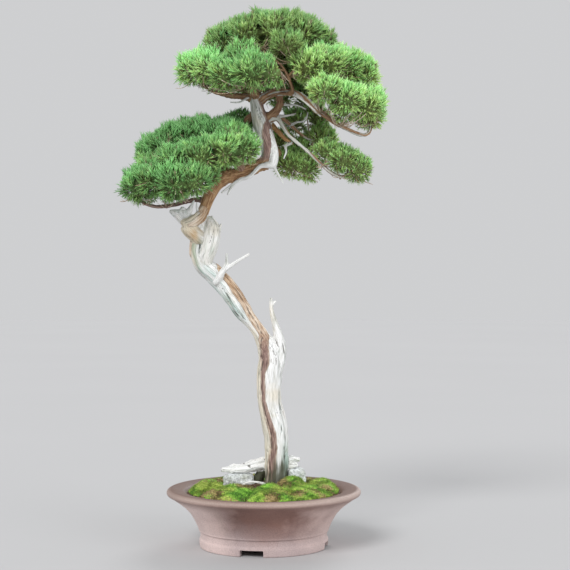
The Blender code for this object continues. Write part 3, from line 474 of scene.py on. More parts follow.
class Look:
    """A Principled material and short ways to add nodes to it."""

    def __init__(self, name, roughness):
        self.material = bpy.data.materials.new(name)
        self.material.use_nodes = True
        self.tree = self.material.node_tree
        self.shader = self.tree.nodes["Principled BSDF"]
        self.set("Roughness", roughness)

    def set(self, name, value):
        """Feeds one of the shader's own inputs."""
        self.feed(self.shader.inputs[name], value)

    def node(self, kind, inputs=None, **settings):
        made = self.tree.nodes.new(kind)
        for key, value in settings.items():
            setattr(made, key, value)
        for key, value in (inputs or {}).items():
            self.feed(made.inputs[key], value)
        return made

    def feed(self, socket, value):
        if isinstance(value, bpy.types.NodeSocket):
            self.tree.links.new(value, socket)
        elif isinstance(value, (tuple, list)) and len(value) == 3 and socket.type == "RGBA":
            socket.default_value = (*value, 1.0)
        else:
            socket.default_value = value

    def attribute(self, name):
        return self.node("ShaderNodeAttribute", attribute_name=name).outputs["Vector"]

    def parts(self, vector):
        return self.node("ShaderNodeSeparateXYZ", {"Vector": vector}).outputs

    def place(self):
        return self.node("ShaderNodeTexCoord").outputs["Object"]

    def noise(self, vector, scale, detail=4.0, roughness=0.55, stretch=None):
        if stretch:
            vector = self.node("ShaderNodeMapping", {"Vector": vector, "Scale": stretch}).outputs["Vector"]
        made = self.node("ShaderNodeTexNoise", {
            "Vector": vector, "Scale": scale, "Detail": detail, "Roughness": roughness,
        })
        return made.outputs["Fac"]

    def ramp(self, value, *stops):
        """Colours along a value: stops are (position, colour)."""
        made = self.node("ShaderNodeValToRGB", {"Fac": value})
        line = made.color_ramp
        while len(line.elements) < len(stops):
            line.elements.new(1.0)
        for element, (position, colour) in zip(line.elements, stops, strict=True):
            element.position = position
            element.color = (*colour, 1.0)
        return made.outputs["Color"]

    def fade(self, value, *stops):
        """Plain numbers along a value: stops are (position, number)."""
        return self.ramp(value, *((position, (number,) * 3) for position, number in stops))

    def mix(self, share, first, second, blend="MIX"):
        made = self.node("ShaderNodeMix", data_type="RGBA", blend_type=blend)
        self.feed(made.inputs["Factor"], share)
        self.feed(made.inputs[6], first)
        self.feed(made.inputs[7], second)
        return made.outputs[2]

    def tint(self, share, first, second):
        """The first colour multiplied with a share of the second."""
        return self.mix(share, first, second, "MULTIPLY")

    def maths(self, operation, *values):
        made = self.node("ShaderNodeMath", operation=operation)
        for socket, value in zip(made.inputs, values, strict=False):
            self.feed(socket, value)
        return made.outputs["Value"]

    def plus(self, value, other, share=1.0):
        """A value with a share of another added."""
        return self.maths("MULTIPLY_ADD", other, share, value)

    def finished(self, colour, height, strength, distance):
        """The material with its colour and its fine relief, of a strength and a depth in metres."""
        self.set("Base Color", colour)
        made = self.node("ShaderNodeBump", {"Height": height, "Strength": strength, "Distance": distance})
        self.set("Normal", made.outputs["Normal"])
        return self.material


def leaf_look():
    """Scale leaves: dark and brownish deep in a tuft, partly their own older colour and partly painted shade,
    fresh green at the tips of the cords.
    """
    look = Look("juniper_foliage", 0.55)
    tip, tone, tint = look.parts(look.attribute("spray"))
    # Both ramps are dark at the feet of the cords: partly their own colour, partly painted shade.
    fresh = look.ramp(
        tip, (0.0, (0.085, 0.105, 0.035)), (0.3, (0.145, 0.31, 0.085)), (0.6, (0.23, 0.6, 0.18)),
        (0.82, (0.37, 0.81, 0.3)), (1.0, (0.66, 0.93, 0.54)),
    )
    olive = look.ramp(
        tip, (0.0, (0.135, 0.1, 0.045)), (0.3, (0.225, 0.29, 0.08)), (0.6, (0.38, 0.6, 0.16)),
        (0.82, (0.57, 0.81, 0.29)), (1.0, (0.8, 0.95, 0.54)),
    )
    patch = look.noise(look.place(), 16.0, 3.0)
    green = look.mix(look.plus(tint, look.maths("SUBTRACT", patch, 0.5), 1.5), fresh, olive)
    # A few cords are dry, and tan.
    dry = look.fade(tone, (0.035, 0.8), (0.06, 0.0))
    tan = look.ramp(tip, (0.0, (0.16, 0.09, 0.05)), (1.0, (0.74, 0.55, 0.38)))
    light = look.ramp(
        tone, (0.0, (0.47, 0.5, 0.47)), (0.4, (0.9, 0.9, 0.9)), (0.8, (1.18, 1.18, 1.18)),
        (1.0, (1.5, 1.42, 1.5)),
    )
    look.set("Base Color", look.tint(1.0, look.mix(dry, green, tan), light))
    look.set("Specular IOR Level", 0.35)
    return look.material


def dead_wood(look, grain, fine):
    """Bleached wood with grey streaks, stained cream, gold and teal, and dull in its hollows, where the
    dullness is painted shade.
    """
    dull = look.parts(look.attribute("tone"))[0]
    cream, teal, gold = look.parts(look.attribute("stain"))
    broad = look.noise(grain, 0.2, 3.0, 0.55)
    patch = look.noise(look.place(), 24.0, 3.0)
    dead = look.ramp(
        fine, (0.27, (0.4, 0.39, 0.36)), (0.4, (0.67, 0.665, 0.64)), (0.53, (0.81, 0.81, 0.8)),
        (0.72, (0.88, 0.88, 0.88)),
    )
    aged = look.maths("MAXIMUM", look.fade(patch, (0.52, 0.0), (0.72, 0.6)), cream)
    streak = look.ramp(broad, (0.29, (0.4, 0.41, 0.39)), (0.4, (0.8, 0.82, 0.81)), (0.49, (1.0, 1.0, 1.0)))
    dead = look.tint(aged, dead, (0.93, 0.83, 0.66))
    dead = look.tint(gold, dead, (0.66, 0.5, 0.34))
    dead = look.tint(teal, dead, (0.58, 0.73, 0.69))
    dead = look.tint(0.9, dead, streak)
    # Dull grey: painted shade in the hollows, the wood's own grey at the top, on the branches and where the
    # roll starts.
    return look.tint(dull, dead, (0.5, 0.5, 0.42)), broad


def live_bark(look, fine, warmth):
    """Brown bark, orange where it is warm and light where it is pale."""
    pale = look.parts(look.attribute("tone"))[2]
    bark = look.ramp(
        fine, (0.3, (0.07, 0.042, 0.034)), (0.44, (0.18, 0.105, 0.088)), (0.58, (0.32, 0.215, 0.18)),
        (0.75, (0.5, 0.39, 0.33)),
    )
    orange = look.ramp(
        fine, (0.28, (0.09, 0.04, 0.015)), (0.42, (0.25, 0.122, 0.042)), (0.58, (0.44, 0.255, 0.105)),
        (0.74, (0.68, 0.5, 0.27)),
    )
    light = look.ramp(
        fine, (0.28, (0.28, 0.17, 0.11)), (0.42, (0.56, 0.42, 0.3)), (0.56, (0.78, 0.68, 0.56)),
        (0.74, (0.9, 0.84, 0.76)),
    )
    return look.mix(pale, look.mix(warmth, bark, orange), light)


def wood_look():
    """Bleached dead wood with fine streaks and dark cracks, and live veins of brown bark."""
    look = Look("deadwood_and_bark", 0.72)
    grain = look.attribute("grain")
    vein, crack, warmth = look.parts(look.attribute("wood"))
    darkening = look.parts(look.attribute("tone"))[1]
    fine = look.noise(grain, 0.8, 5.0, 0.6)
    dead, broad = dead_wood(look, grain, fine)
    wood = look.mix(look.fade(vein, (0.4, 0.0), (0.6, 1.0)), dead, live_bark(look, fine, warmth))
    seam = look.fade(vein, (0.3, 0.0), (0.44, 0.6), (0.56, 0.15), (0.7, 0.0))
    wood = look.mix(seam, wood, (0.11, 0.075, 0.055))
    wood = look.mix(look.fade(crack, (0.25, 0.0), (0.8, 0.9)), wood, (0.05, 0.036, 0.028))
    # One near black for damp wood and for the painted shade at the trunk's foot and lower right side.
    damp_shade_colour = look.mix(fine, (0.012, 0.013, 0.007), (0.095, 0.1, 0.052))
    return look.finished(look.mix(darkening, wood, damp_shade_colour), look.plus(fine, broad), 0.6, 0.001)


def clay_look():
    """Unglazed clay, red brown with a paler bloom towards the foot, and pale on both flanks, partly bloom and
    partly painted light and sheen.
    """
    look = Look("unglazed_clay", 0.6)
    place = look.place()
    x, y, z = look.parts(place)
    x = look.maths("SUBTRACT", x, float(AXIS[0]))
    y = look.maths("SUBTRACT", y, float(AXIS[1]))
    far = look.maths("POWER", look.plus(look.maths("MULTIPLY", x, x), y, y), 0.5)
    cloud = look.noise(place, 9.0, 4.0, 0.6)
    streak = look.noise(place, 14.0, 3.0, 0.5, stretch=(0.25, 0.25, 2.2))
    speck = look.noise(place, 900.0, 2.0, 0.7)
    base = look.ramp(
        cloud, (0.3, (0.12, 0.056, 0.043)), (0.5, (0.19, 0.094, 0.074)), (0.72, (0.28, 0.155, 0.126)),
    )
    base = look.mix(look.fade(streak, (0.4, 0.0), (0.75, 0.5)), base, (0.27, 0.165, 0.14))
    # The bloom fades out upwards. The flanks are paler, more the left one, up to the rim: partly bloom,
    # partly painted light and sheen from the key light on the left.
    low = look.plus(z, look.maths("SUBTRACT", cloud, 0.5), 0.06)
    low = look.fade(low, (0.0, 0.74), (0.022, 0.62), (0.036, 0.28), (0.06, 0.0))
    flank_light = look.plus(look.maths("MULTIPLY", look.maths("ABSOLUTE", x), 4.4), x, -1.3)
    side = look.fade(look.plus(flank_light, cloud, 0.7), (0.52, 0.0), (0.72, 0.5), (0.98, 1.0))
    side = look.maths("MULTIPLY", side, look.fade(z, (0.068, 0.95), (0.084, 0.1)))
    base = look.mix(low, base, (0.52, 0.43, 0.425))
    # Painted light and sheen on the flanks, with some bloom.
    base = look.mix(side, base, (0.86, 0.69, 0.65))
    # The rim is dark brown, with a paler outer edge that is a painted highlight.
    rim = look.fade(z, (0.08, 0.0), (0.085, 1.0))
    brown = look.mix(cloud, (0.09, 0.04, 0.026), (0.195, 0.104, 0.072))
    # Painted highlight along the rim's outer edge.
    edge = look.fade(far, (0.1465, 0.0), (0.15, 1.0))
    edge = look.maths("MULTIPLY", edge, look.fade(streak, (0.3, 0.5), (0.6, 1.0)))
    base = look.mix(rim, base, look.mix(edge, brown, (0.53, 0.42, 0.375)))
    grit = look.ramp(speck, (0.3, (0.72, 0.7, 0.7)), (0.5, (1.0, 1.0, 1.0)), (0.72, (1.2, 1.19, 1.18)))
    look.set("Roughness", look.fade(cloud, (0.2, 0.44), (0.7, 0.68)))
    return look.finished(look.tint(1.0, base, grit), look.plus(speck, streak, 1.5), 0.3, 0.0006)


def moss_look():
    """Living moss: fresh green, yellow green and dry brown patches."""
    look = Look("moss", 0.85)
    place = look.place()
    tip, tone, dry = look.parts(look.attribute("blade"))
    # Low tip values darken the furrows of the cushions and the feet of the blades: painted shade.
    fresh = look.ramp(
        tip, (0.0, (0.018, 0.045, 0.006)), (0.45, (0.105, 0.31, 0.02)), (1.0, (0.36, 0.72, 0.08)),
    )
    gold = look.ramp(
        tip, (0.0, (0.05, 0.055, 0.01)), (0.45, (0.235, 0.345, 0.036)), (1.0, (0.6, 0.71, 0.15)),
    )
    brown = look.ramp(
        tip, (0.0, (0.03, 0.016, 0.008)), (0.45, (0.19, 0.1, 0.045)), (1.0, (0.52, 0.35, 0.18)),
    )
    patch = look.noise(place, 26.0, 4.0, 0.6)
    spots = look.noise(place, 340.0, 4.0, 0.75)
    grain = look.noise(place, 480.0, 3.0, 0.75)
    green = look.mix(look.fade(patch, (0.4, 0.0), (0.6, 0.95)), fresh, gold)
    share = look.plus(dry, look.plus(tone, spots, 3.6), 0.3)
    colour = look.mix(look.fade(share, (0.98, 0.0), (1.08, 0.85)), green, brown)
    light = look.ramp(
        grain, (0.36, (0.42, 0.46, 0.36)), (0.5, (1.0, 1.0, 1.0)), (0.64, (1.4, 1.32, 1.4)),
    )
    return look.finished(look.tint(1.0, colour, light), look.plus(grain, spots), 0.7, 0.0016)


def soil_look():
    """Damp granular soil: dark crumbs with tan and reddish ones among them."""
    look = Look("potting_soil", 0.95)
    place = look.place()
    cell = look.node("ShaderNodeTexVoronoi", {"Vector": place, "Scale": 330.0})
    crumb = look.ramp(
        look.parts(cell.outputs["Color"])[0], (0.0, (0.03, 0.017, 0.01)), (0.4, (0.075, 0.042, 0.025)),
        (0.7, (0.15, 0.08, 0.045)), (1.0, (0.27, 0.19, 0.12)),
    )
    red = look.fade(look.noise(place, 40.0, 2.0), (0.4, 0.0), (0.7, 0.5))
    return look.finished(look.mix(red, crumb, (0.15, 0.07, 0.035)), cell.outputs["Distance"], 0.8, 0.001)


def stone_look():
    """Pale grey weathered stone with fine grain, pits and a little algae."""
    look = Look("stone", 0.85)
    place = look.place()
    grain = look.noise(place, 300.0, 5.0, 0.65)
    cloud = look.noise(place, 70.0, 4.0)
    base = look.ramp(
        grain, (0.3, (0.24, 0.25, 0.25)), (0.42, (0.5, 0.52, 0.52)), (0.56, (0.7, 0.73, 0.74)),
        (0.75, (0.88, 0.9, 0.9)),
    )
    algae = look.ramp(cloud, (0.42, (1.0, 1.0, 1.0)), (0.7, (0.66, 0.66, 0.58)))
    # Darker and greener towards the bottom, near the soil.
    darkening = look.fade(look.plus(look.parts(place)[2], cloud, 0.012), (0.096, 0.8), (0.104, 0.0))
    return look.finished(look.mix(darkening, look.tint(1.0, base, algae), (0.1, 0.11, 0.06)), grain, 0.8, 0.0012)


def plastic_look():
    """Black plastic with a fine dull grain."""
    look = Look("screen_plastic", 0.5)
    fine = look.noise(look.place(), 600.0, 2.0)
    black = look.ramp(fine, (0.3, (0.01, 0.01, 0.01)), (0.7, (0.028, 0.028, 0.028)))
    return look.finished(black, fine, 0.2, 0.0002)


def floor_look():
    """A pale floor without gloss."""
    look = Look("floor", 1.0)
    cloud = look.noise(look.place(), 0.8, 2.0)
    look.set("Base Color", look.ramp(cloud, (0.3, (0.505, 0.505, 0.51)), (0.7, (0.515, 0.515, 0.52))))
    look.set("Specular IOR Level", 0.0)
    return look.material


def smooth_line(stations, step):
    """Points about a step apart on a Catmull-Rom curve through the stations, radius included."""
    rows = np.array(stations, dtype=float)
    rows = np.vstack([2 * rows[0] - rows[1], rows, 2 * rows[-1] - rows[-2]])
    points = []
    for before, start, end, after in zip(rows, rows[1:], rows[2:], rows[3:], strict=False):
        count = max(1, round(np.linalg.norm(end[:3] - start[:3]) / step))
        for t in np.arange(count)[:, None] / count:
            line = 2 * start + (end - before) * t
            bend = (2 * before - 5 * start + 4 * end - after) * t**2
            twist = (3 * start - before - 3 * end + after) * t**3
            points.append(0.5 * (line + bend + twist))
    points.append(rows[-2])
    return np.array(points)


def frames_along(points, first):
    """Tangents and two cross directions at each point of a line, turned as little as possible."""
    tangents = unit(np.gradient(points[:, :3], axis=0))
    across = np.empty_like(tangents)
    side = np.array(first, dtype=float)
    for k, ahead in enumerate(tangents):
        side = side - side.dot(ahead) * ahead
        side = side / np.linalg.norm(side)
        across[k] = side
    return tangents, across, np.cross(tangents, across)


def limb_parts(limbs):
    """The thick parts of limbs, which the trunk's skin covers, and the thin parts beyond them."""
    thick, thin = [], []
    for stations in limbs:
        line = smooth_line(stations, SHAPE_STEP)
        count = int((line[:, 3] >= THIN).cumprod().sum())
        if count > 1:
            thick.append(line[:count])
        # The foot of a thin part is sunk in the thick one.
        start = max(0, count - 3)
        if start < len(line) - 1:
            thin.append(np.minimum(line[start:], (math.inf, math.inf, math.inf, THIN)))
    return thick, thin


def ring_spokes(across, other, sides):
    """Unit spokes all round each point of a line, from two cross directions."""
    angles = (math.tau * np.arange(sides) / sides)[:, None]
    return across[..., None, :] * np.cos(angles) + other[..., None, :] * np.sin(angles)


def wall_faces(count, sides):
    """Triangles between rings of points, each with the same number of sides."""
    rings = np.arange(count - 1)[:, None] * sides
    low = (rings + np.arange(sides)).ravel()
    after = (rings + (np.arange(sides) + 1) % sides).ravel()
    return np.concatenate([
        np.stack([low, after, after + sides], axis=1), np.stack([low, after + sides, low + sides], axis=1),
    ])


def closed_rings(rings, foot, head):
    """Points and triangles of rings of points in a row, closed towards a middle point at each end."""
    count, sides = rings.shape[:2]
    ring = np.arange(sides)
    after = (ring + 1) % sides
    last = (count - 1) * sides
    low = np.stack([after, ring, np.full(sides, count * sides)], axis=1)
    high = np.stack([last + ring, last + after, np.full(sides, count * sides + 1)], axis=1)
    verts = np.concatenate([rings.reshape(-1, 3), [foot, head]])
    return verts, np.concatenate([wall_faces(count, sides), low, high])


def tube(points, sides, flat=1.0):
    """A closed tube of triangles along a line of points and radii."""
    _, across, other = frames_along(points, (1, 0, 0))
    offset = ring_spokes(across, other, sides) * np.maximum(points[:, 3], THINNEST)[:, None, None]
    offset[..., 2] *= flat
    return closed_rings(points[:, None, :3] + offset, points[0, :3], points[-1, :3])


def wood_samples():
    """Points along every limb: place, radius, way along, way to the front, way to the right, length so
    far and the limb's number."""
    rows = []
    for number, stations in enumerate([TRUNK, *JINS, *ROOTS, *BRANCHES]):
        points = smooth_line(stations, GRAIN_STEP)
        if number == 0:
            tangents = unit(np.gradient(points[:, :3], axis=0))
            across = unit(FRONT - tangents * (tangents @ FRONT)[:, None])
            other = np.cross(tangents, across)
        else:
            tangents, across, other = frames_along(points, (0.3, -1, 0.2))
        length = np.concatenate([[0], np.cumsum(np.linalg.norm(np.diff(points[:, :3], axis=0), axis=1))])
        numbers = np.full((len(points), 1), number)
        rows.append(np.hstack([points, tangents, across, other, length[:, None], numbers]))
    return np.concatenate(rows)


def nearest_samples(verts, samples):
    """The sample whose limb surface is nearest to each point."""
    found = []
    for part in np.split(verts, range(4000, len(verts), 4000)):
        square = (part**2).sum(1)[:, None] + (samples[:, :3]**2).sum(1)[None, :]
        square -= 2 * part @ samples[:, :3].T
        found.append((np.sqrt(np.maximum(square, 0)) - samples[:, 3]).argmin(axis=1))
    return samples[np.concatenate(found)]


class WoodPlaces:
    """Where each point of the wood lies on its limb, how alive it is, and the noises that are shared."""

    def __init__(self, verts):
        near = nearest_samples(verts, wood_samples())
        away = verts - near[:, :3]
        front = (away * near[:, 7:10]).sum(1)
        right = (away * near[:, 10:13]).sum(1)
        length = near[:, 13] + (away * near[:, 4:7]).sum(1)
        self.verts = verts
        self.east = verts[:, 0]
        self.height = verts[:, 2]
        self.radius = near[:, 3]
        self.angle = np.degrees(np.arctan2(right, front))
        self.turned = right / self.radius
        self.limb = near[:, 14].astype(int)
        self.on_trunk = self.limb == 0
        self.on_root = (self.limb >= FIRST_ROOT) & (self.limb < FIRST_BRANCH)
        self.on_branch = self.limb >= FIRST_BRANCH
        self.on_roll = np.isin(self.limb, (ROLL_FOOT, ROLL))
        self.grain = np.stack([front, right, length * 0.07 + self.limb * 23.0], axis=1)
        self.slow = noise_at(np.stack([length * 0.04, self.limb * 7.0, self.angle * 0.003], axis=1), 4.0)
        self.quick = noise_at(np.stack([length * 0.15, self.limb * 5.0, self.angle * 0.01], axis=1), 9.0)
        self.flute = self.noise(0.13, 0.3)
        self.ridge = self.noise(0.42, 0.8, 5.0)
        self.vein, self.across, self.reach = live_veins(self)
        self.live = smoothstep(self.vein, -0.6, 1.4)
        self.mark = crack_marks(self)

    def noise(self, across, along, seed=0.0):
        """Noise of one fineness across the grain and another along it."""
        return noise_at(self.grain * (across, across, along), seed)


def vein_place(table, at):
    """Millimetres inside a vein's edge, the place across it from -1 to 1, and its half width."""
    heights, middles, halves = np.array(table, dtype=float).T
    half = np.interp(at.height, heights, halves) * (1 + 0.22 * (at.slow + 0.5 * at.quick))
    off = (at.angle - np.interp(at.height, heights, middles) + 180) % 360 - 180
    return np.radians(half - np.abs(off)) * at.radius, off / half, np.radians(half) * at.radius


def live_veins(at):
    """Millimetres inside live bark, the place across the front vein and that vein's half width."""
    vein, across, reach = vein_place(FRONT_VEIN, at)
    vein = np.maximum(vein, vein_place(BACK_VEIN, at)[0])
    dead_share = np.array([0.0] * FIRST_BRANCH + BRANCH_DEAD)[at.limb]
    strip = (at.noise(0.35, 0.5, 2.0) + 1) / 2
    # The roll is pale at its outer lip and brown towards the trunk.
    rolled = 0.5 * (at.east - at.height + 618) + 2 * at.ridge + 2 * at.flute
    rolled += 0.9 * np.maximum(at.height - 519, 0)
    vein = np.select(
        [at.on_branch, at.limb == ROLL_FOOT, at.limb == ROLL, at.limb == LIVE_ROOT, ~at.on_trunk],
        [(strip - dead_share * 0.9) * 12, -2.5, np.clip(rolled, -3, 6), -1.0, -9.0], vein,
    )
    return vein, across, reach


def crack_marks(at):
    """The dark cracks from the table, as a depth from 0 to 1."""
    mark = np.zeros(len(at.height))
    for limb, low, low_angle, high, high_angle, half in CRACKS:
        off = at.angle - np.interp(at.height, [low, high], [low_angle, high_angle]) + 4 * at.quick
        end = band(at.height, low - 3, low + 8, high - 8, high + 3)
        end *= np.maximum(smoothstep(at.ridge, -0.5, 0.1), 0.9 * (limb == FORKED_PRONG))
        mark = np.maximum(mark, (at.limb == limb) * end * np.exp(-(np.radians(off) * at.radius / half) ** 2))
    return mark


def wood_relief(at):
    """How far each point stands out, and how dark its cracks are."""
    size = np.clip(at.radius / 15, 0.12, 1.0)
    split = 1 - smoothstep(np.abs(at.noise(0.2, 0.28, 11.0)), 0.012, 0.055)
    split *= smoothstep(at.radius, 3.0, 8.0) * smoothstep(at.noise(0.06, 0.5, 3.0), 0.0, 0.35)
    crack = np.maximum(split, at.mark) * (1 - at.live)
    # A dark furrow runs down the live vein, nearer its left edge.
    furrow = np.exp(-((at.across + 0.3 - 0.5 * at.slow) * at.reach / 1.3) ** 2) * at.live * at.on_trunk
    furrow *= smoothstep(at.quick, -0.5, 0.1) * (1 - smoothstep(at.height, 400, 440))
    # The veins stand out with rolled edges, and flutes run along the limb.
    rise = 1.9 * smoothstep(at.vein, -0.8, 3.0) - 0.9 * np.exp(-((at.vein + 1.4) / 1.2) ** 2) - 0.5
    rise += (1 - 0.35 * at.live) * (1.9 * at.flute + 0.9 * at.ridge) - 2.2 * crack - 1.6 * furrow
    rise *= size
    # Roots, branches and the trunk's upper bend are lumpy, and the roots are split.
    lump = noise_at(at.verts * 0.11, 2.0)
    pit = noise_at(at.verts * 0.28, 5.0)
    rise += at.on_root * (1.8 * lump + 1.2 * pit) + at.on_branch * 0.17 * at.radius * (lump + pit)
    rise += at.on_trunk * band(at.height, *GNARLED_WOOD) * (2.0 * lump + 1.8 * pit)
    groove = 1 - smoothstep(np.abs(at.noise(0.24, 0.7, 6.0)), 0.015, 0.06)
    crack = np.maximum(crack, at.on_root * 0.7 * groove * smoothstep(pit, -0.1, 0.3))
    return rise * smoothstep(at.radius, 0.8, 3.2), np.clip(crack + 0.85 * furrow, 0, 1)


def bark_tones(at):
    """How warm and how pale the live bark is."""
    height = at.height
    warm = 0.8 * at.on_trunk * band(height, *WARM_BARK)
    warm = np.maximum(warm, 0.6 * at.on_branch * smoothstep(height, 560, 620))
    warm = np.select([at.on_roll, at.limb == WARM_BRANCH], [0.8, 1.0], warm)
    left_half = smoothstep(-at.across, 0.2, 0.5) * (1 - smoothstep(height, 312, 330))
    pale = at.on_trunk * np.max([
        0.75 * smoothstep(height + 8 * at.quick, 308, 356) * (1 - smoothstep(height, 372, 392)),
        0.35 * band(height, *PALE_BARK),
        0.6 * smoothstep(np.abs(at.across), 0.72, 1.0),
        0.7 * left_half * smoothstep(at.ridge, -0.5, 0.2),
        band(height, *PALE_KNOT),
    ], axis=0)
    pale = np.where(at.on_roll, 1 - 0.7 * smoothstep(at.east, -112, -93), pale)
    return warm, np.clip(pale + 0.5 * at.ridge * (pale > 0.1), 0, 1)


def dead_tone(at):
    """How dull the dead wood is: in its hollows as painted shade, at the top and where the roll starts."""
    # The concave hollows of the dead wood get painted shade.
    hollow_shade = np.clip(-0.6 * (at.flute + 0.5 * at.ridge) - 0.14, 0, 0.5) * (1 - at.live)
    shade = 0.42 + 0.9 * at.ridge - 0.4 * smoothstep(at.turned, -0.1, 0.3)
    return np.max([
        1.4 * hollow_shade * ~np.isin(at.limb, LEFT_STUBS),
        at.on_trunk * smoothstep(at.height, 604, 625) * shade,
        (at.limb == ROLL_FOOT) * smoothstep(at.east, -108, -98) * (0.5 + at.flute),
        0.5 * at.on_branch,
    ], axis=0)


def damp_and_shade(at, points):
    """How dark the wood is near the soil and higher on the trunk's right side: damp wood, and painted shade
    at the foot and on the side away from the key light.
    """
    dark_edge = at.height + 7 * noise_at(points * 0.09, 8.0) + 20 * at.flute + 12 * at.ridge
    # The lower right side, away from the key light, is darkened as painted shade.
    dark_side = smoothstep(at.turned + 0.5 * at.ridge, 0.1, 0.55)
    dark_side *= 1 - smoothstep(at.height + 26 * at.flute + 12 * at.ridge, 114, 144)
    darkening = np.maximum(0.92 * (1 - smoothstep(dark_edge, 104, 134)), 0.95 * at.on_trunk * dark_side)
    # The root in the hollow is fully dark, as painted shade; the other roots are not darkened.
    return np.select([at.limb == HOLLOW_SHADE_ROOT, at.on_root], [1.0, 0.0], darkening)


def stains(at):
    """Cream on the left, teal in weathered hollows and cracks, and a golden patch on the roll."""
    left = smoothstep(-at.turned, 0.15, 0.6) * at.on_trunk
    lobe = np.isin(at.limb, RIGHT_LOBE)
    cream = 0.75 * left * (1 - smoothstep(at.height, 330, 352)) + 0.8 * left * smoothstep(at.height, 425, 445)
    cream = np.maximum(cream * (1 - smoothstep(at.height, 590, 606)), 0.16 * lobe)
    cream = np.where(at.on_roll, 1 - smoothstep(at.east, -106, -97), cream)
    weathered = band(at.height, *TEAL_WOOD) * smoothstep(-at.turned, -0.5, 0.2)
    teal = np.max([
        at.on_trunk * weathered * (0.38 + 1.3 * at.flute + 0.4 * at.ridge),
        at.on_trunk * 0.9 * at.mark,
        at.on_trunk * smoothstep(at.turned, 0.3, 0.8) * (1 - smoothstep(at.height, 130, 175)),
        np.isin(at.limb, LEFT_STUBS) * (1.1 * at.flute + 0.5 * at.ridge - 0.05),
        lobe * (at.flute + 0.3 * at.ridge - 0.1),
    ], axis=0)
    gold = np.exp(-((at.east + 106) / 12) ** 2 - ((at.height - 487) / 9) ** 2)
    gold *= at.on_roll * (0.7 + 1.2 * at.ridge + at.flute)
    return np.clip(np.stack([cream + 0.4 * at.flute * (cream > 0), teal, gold], axis=1), 0, 1)


def make_wood(material):
    """Trunk, dead wood, roots and branches as one skin, with grain that follows each limb."""
    thick_lines, thin_lines = limb_parts(JINS + BRANCHES)
    shapes = [tube(smooth_line(TRUNK, SHAPE_STEP), TRUNK_SIDES)]
    shapes += [tube(line, LIMB_SIDES) for line in thick_lines]
    shapes += [tube(smooth_line(root, SHAPE_STEP), ROOT_SIDES, ROOT_FLAT) for root in ROOTS[:-1]]
    thick = skin(*joined(shapes), WOOD_CELL, rounds=3)
    shapes = [tube(line, THIN_SIDES) for line in thin_lines]
    shapes.append(tube(smooth_line(ROOTS[-1], SHAPE_STEP), THIN_ROOT_SIDES))
    thin = mesh_arrays(new_mesh("thin", *joined(shapes)))
    verts, faces = joined([thick[:2], thin[:2]])
    normals = np.concatenate([thick[2], thin[2]])

    at = WoodPlaces(verts)
    rise, crack = wood_relief(at)
    verts = verts + normals * rise[:, None]
    warm, pale = bark_tones(at)
    add_piece("trunk_wood", verts, faces, material, "deadwood_and_bark", ["trunk"], attributes={
        "grain": at.grain,
        "wood": np.stack([smoothstep(at.vein, -1.6, 1.6), crack, warm], axis=1),
        "tone": np.clip(np.stack([dead_tone(at), damp_and_shade(at, verts), pale], axis=1), 0, 1),
        "stain": stains(at),
    })


def twig_shapes(starts, bends, ends, radius):
    """Many thin tapered three-sided tubes at once, each along a bent line, closed at both ends."""
    t = np.linspace(0, 1, TWIG_STEPS)[None, :, None]
    line = (1 - t) ** 2 * starts[:, None] + 2 * t * (1 - t) * bends[:, None] + t**2 * ends[:, None]
    tangents = unit(np.gradient(line, axis=1))
    across = unit(np.cross(tangents, np.array([0.31, 0.17, 0.94])))
    spokes = ring_spokes(across, np.cross(tangents, across), 3)
    verts = line[:, :, None] + spokes * radius[:, None, None, None] * (1 - 0.6 * t[..., None])
    count = 3 * TWIG_STEPS
    faces = np.concatenate([wall_faces(TWIG_STEPS, 3), [(0, 2, 1), (count - 3, count - 2, count - 1)]])
    shifts = np.arange(len(starts))[:, None, None] * count
    return verts.reshape(-1, 3), (faces[None] + shifts).reshape(-1, 3)


def make_twigs(material):
    """Thin brown twigs from the branches to the under sides of the tufts."""
    samples = wood_samples()
    limb = samples[:, 14]
    carriers = samples[((limb == 0) | (limb >= FIRST_BRANCH)) & (samples[:, 2] > TWIG_HEIGHT)]
    rng = np.random.default_rng(5)
    rows = []
    for x, y, z, r in ALL_TUFTS:
        centre = np.array([x, y, z])
        gap = np.linalg.norm(carriers[:, :3] - (centre - UP * 0.4 * r), axis=1)
        root = carriers[gap.argmin(), :3]
        # A tuft far from the limbs has a hub of twigs inside it, on a stem of its own.
        hub = centre - UP * 0.34 * r if gap.min() > 1.4 * r else root
        if gap.min() > 14:
            rows.append((root, (root + hub) / 2 - UP * 8, hub, 1.9))
        for turn in rng.uniform(0, math.tau, TWIGS_A_TUFT):
            out = np.array([math.cos(turn), math.sin(turn), 0])
            end = centre + out * r * rng.uniform(0.5, 0.92) - UP * r * rng.uniform(0.1, 0.8)
            bend = (hub + end) / 2 - UP * r * rng.uniform(0.2, 0.42) + out * r * 0.12
            rows.append((hub, bend, end, rng.uniform(0.6, 1.2)))
    verts, faces = twig_shapes(*map(np.array, zip(*rows, strict=True)))
    wood = np.tile(np.array([1.0, 0.0, 0.8]), (len(verts), 1))
    tone = np.zeros((len(verts), 3))
    tone[:, 2] = np.repeat(rng.uniform(0.2, 1.0, len(rows)), len(verts) // len(rows))
    add_piece("twigs", verts, faces, material, "deadwood_and_bark",
              attributes={"grain": verts * (1, 1, 0.2), "wood": wood, "tone": tone, "stain": wood * 0})


def ring_at(centre, ahead, radius, turn=0.0):
    """Three points about a centre, square to a direction."""
    across = unit(np.cross(ahead, np.array([0.36, 0.48, 0.8])))
    other = np.cross(ahead, across)
    angles = turn + math.tau * np.arange(3) / 3
    return centre + radius * (np.cos(angles)[:, None] * across + np.sin(angles)[:, None] * other)


